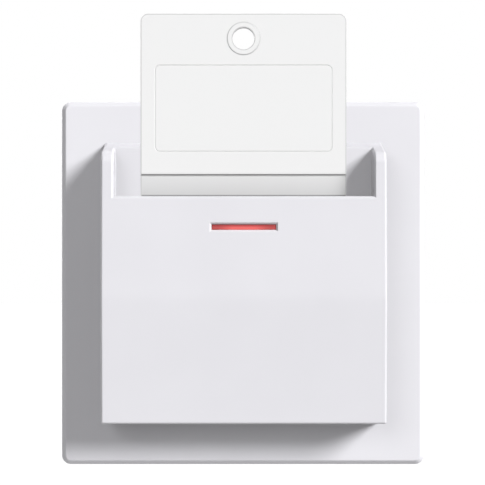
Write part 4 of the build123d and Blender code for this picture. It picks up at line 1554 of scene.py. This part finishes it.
@dataclass
class RoundedPieces:
    """Pieces whose CAD shape is right and only wants its edges rounded.

    Attributes:
        widths: Width of the rounding by node, in millimetres.
    """

    widths: dict[str, float]

    def build(self, finishes: Finishes) -> None:
        """Round the edges of each piece.

        Args:
            finishes: Materials by the record's slot.
        """
        for node, width in self.widths.items():
            piece = place_for(merged_copy(node, f"{node}_rounded", width), node, finishes)
            # the photograph shows no light thrown back from the holder's bright side
            piece.visible_diffuse = node != "card_holder"


ROUNDINGS = {
    "card_holder": 0.07, "light_guide": 0.1, "support_plate": 0.12,
    "mechanism_base": 0.2, "mechanism_cover": 0.15, "carrier": 0.15, "card_lever": 0.15,
    "lever_pin": 0.15, "plunger": 0.1, "line_terminal": 0.15, "card_in_terminal": 0.15,
    "card_out_terminal": 0.15, "lamp_terminal": 0.15, "common_contact": 0.08,
    "front_contact": 0.08, "rear_contact": 0.08, "lamp_contact": 0.08, "contact_blade": 0.08,
    "blade_rivet": 0.22, "contact_rivets": 0.22, "claw_left": 0.15, "claw_right": 0.15,
    "lamp_board": 0.06, "lamp_pins": 0.08,
}


def make_finishes() -> Finishes:
    """Build every finish.

    Returns:
        Materials by the record's slot.
    """
    lens_reach, ring_pitch = 7.0 * MM, 0.7 * MM
    low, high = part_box("indicator_lens")
    lens_middle = tuple(float(a + b) / 2 for a, b in zip(low, high))
    lens_front = (lens_middle[0], float(low[1]), lens_middle[2])
    body_low, body_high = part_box("lamp_resistor")
    # a spark eroded mould gives the housing its even satin white
    return {
        "tag_plastic": KeyTag().finish(),
        "holder_plastic": Finish("ABS moulded satin white", "EDECF1", "EBEAEF", 0.36, 0.04,
                                 grain_mm=0.3, bump_mm=0.0015).make(),
        "frame_plastic": Finish("ABS moulded satin white, frame", "F2F1F6", "F0EFF4", 0.38, 0.04,
                                grain_mm=0.3, bump_mm=0.0015).make(),
        # glass filled polyamide has a dull, slightly mottled skin
        "base_plastic": Finish("polyamide moulded pale grey", "D2D1CF", "C9C8C6", 0.5, 0.08,
                               grain_mm=0.4, bump_mm=0.008, drift_mm=6.0).make(),
        "carrier_plastic": Finish("polycarbonate moulded white", "E4E4E4", "DEDEDE", 0.42,
                                  grain_mm=0.3, bump_mm=0.004,
                                  ior=POLYCARBONATE_IOR).make(),
        # acetal is waxy and slides well
        "lever_plastic": Finish("acetal moulded white", "E9E9E6", "E4E4E1", 0.32,
                                grain_mm=0.3, bump_mm=0.002, ior=1.48).make(),
        # zinc over cold rolled sheet shows faint lines along the coil
        "plate_steel": Finish("zinc plated steel stamped", "C6C8CA", "B4B7BA", 0.36, 0.1,
                              metallic=1.0, grain=Grain.ROLLED, grain_mm=0.3, bump_mm=0.003,
                              drift_mm=9.0).make(),
        "screw_steel": Finish("zinc plated steel turned", "C9CACC", "B6B8BB", 0.28, 0.08,
                              metallic=1.0, grain=Grain.TURNED, grain_mm=0.2, bump_mm=0.002,
                              drift_mm=4.0).make(),
        "spring_steel": Finish("spring steel drawn", "A9ABAD", "9EA0A3", 0.26, 0.06,
                               metallic=1.0, grain=Grain.DRAWN, grain_mm=0.2,
                               bump_mm=0.001).make(),
        "terminal_brass": Finish("brass machined", "D6B56A", "C9A558", 0.28, 0.08,
                                 metallic=1.0, grain=Grain.TURNED, grain_mm=0.2,
                                 bump_mm=0.002, drift_mm=5.0).make(),
        "contact_copper": Finish("copper alloy strip rolled", "D0906A", "C4845F", 0.3, 0.08,
                                 metallic=1.0, grain=Grain.ROLLED, grain_mm=0.25,
                                 bump_mm=0.0015).make(),
        "contact_silver": Finish("silver alloy headed", "DDDBD6", "D0CEC9", 0.25, 0.05,
                                 metallic=1.0, grain=Grain.TURNED, grain_mm=0.2,
                                 bump_mm=0.001).make(),
        "pin_tin": Finish("tin plated wire", "CFCFCC", "C4C4C2", 0.3, 0.06, metallic=1.0,
                          grain=Grain.DRAWN, grain_mm=0.2, bump_mm=0.001).make(),
        "circuit_board": Finish("glass epoxy board lacquered", "2F6B43", "29603B", 0.32, 0.05,
                                grain_mm=0.5, bump_mm=0.003, coat=0.3, drift_mm=5.0).make(),
        "led_resin": Finish("epoxy resin cast red", "D8443C", "C93A34", 0.12, 0.03,
                            grain=Grain.POLISHED, grain_mm=0.6, bump_mm=0.001).make(),
        "resistor_body": BandedResistor("lacquered ceramic dipped", "CDB387",
                                        ("7A4A2A", "1C1C1C", "8E2420", "B8953A"),
                                        float(body_low[0] + body_high[0]) / 2,
                                        ring_pitch).make(),
        "clear_plastic": ClearPlastic("polycarbonate moulded clear", "F2F6F8").make(),
        # red lens: painted glow of the lamp behind it, and a painted shadow under the window's
        # upper edge
        "red_lens": GlowingLens("polycarbonate moulded red", "EE6462", "B94444", "86161A",
                                lens_front, lens_reach, 0.2,
                                float(high[2] - low[2]) / 2 - IndicatorLens.flange_rim * MM
                                ).make(),
    }


def main() -> None:
    """Build the studio, every finish and every piece."""
    logging.basicConfig(level=logging.INFO)
    Studio().build()
    finishes = make_finishes()
    for node, slot in SLOT_OF.items():
        slots = frame["nodes"][node].data.materials
        slots.clear()
        slots.append(finishes[slot])
    CoverFrame().build(finishes)
    IndicatorLens().build(finishes)
    KeyTag().build(finishes)
    Screws().build(finishes)
    ReturnSpring().build(finishes)
    Lamp().build(finishes)
    RoundedPieces(ROUNDINGS).build(finishes)


if __name__ == "__main__":
    main()
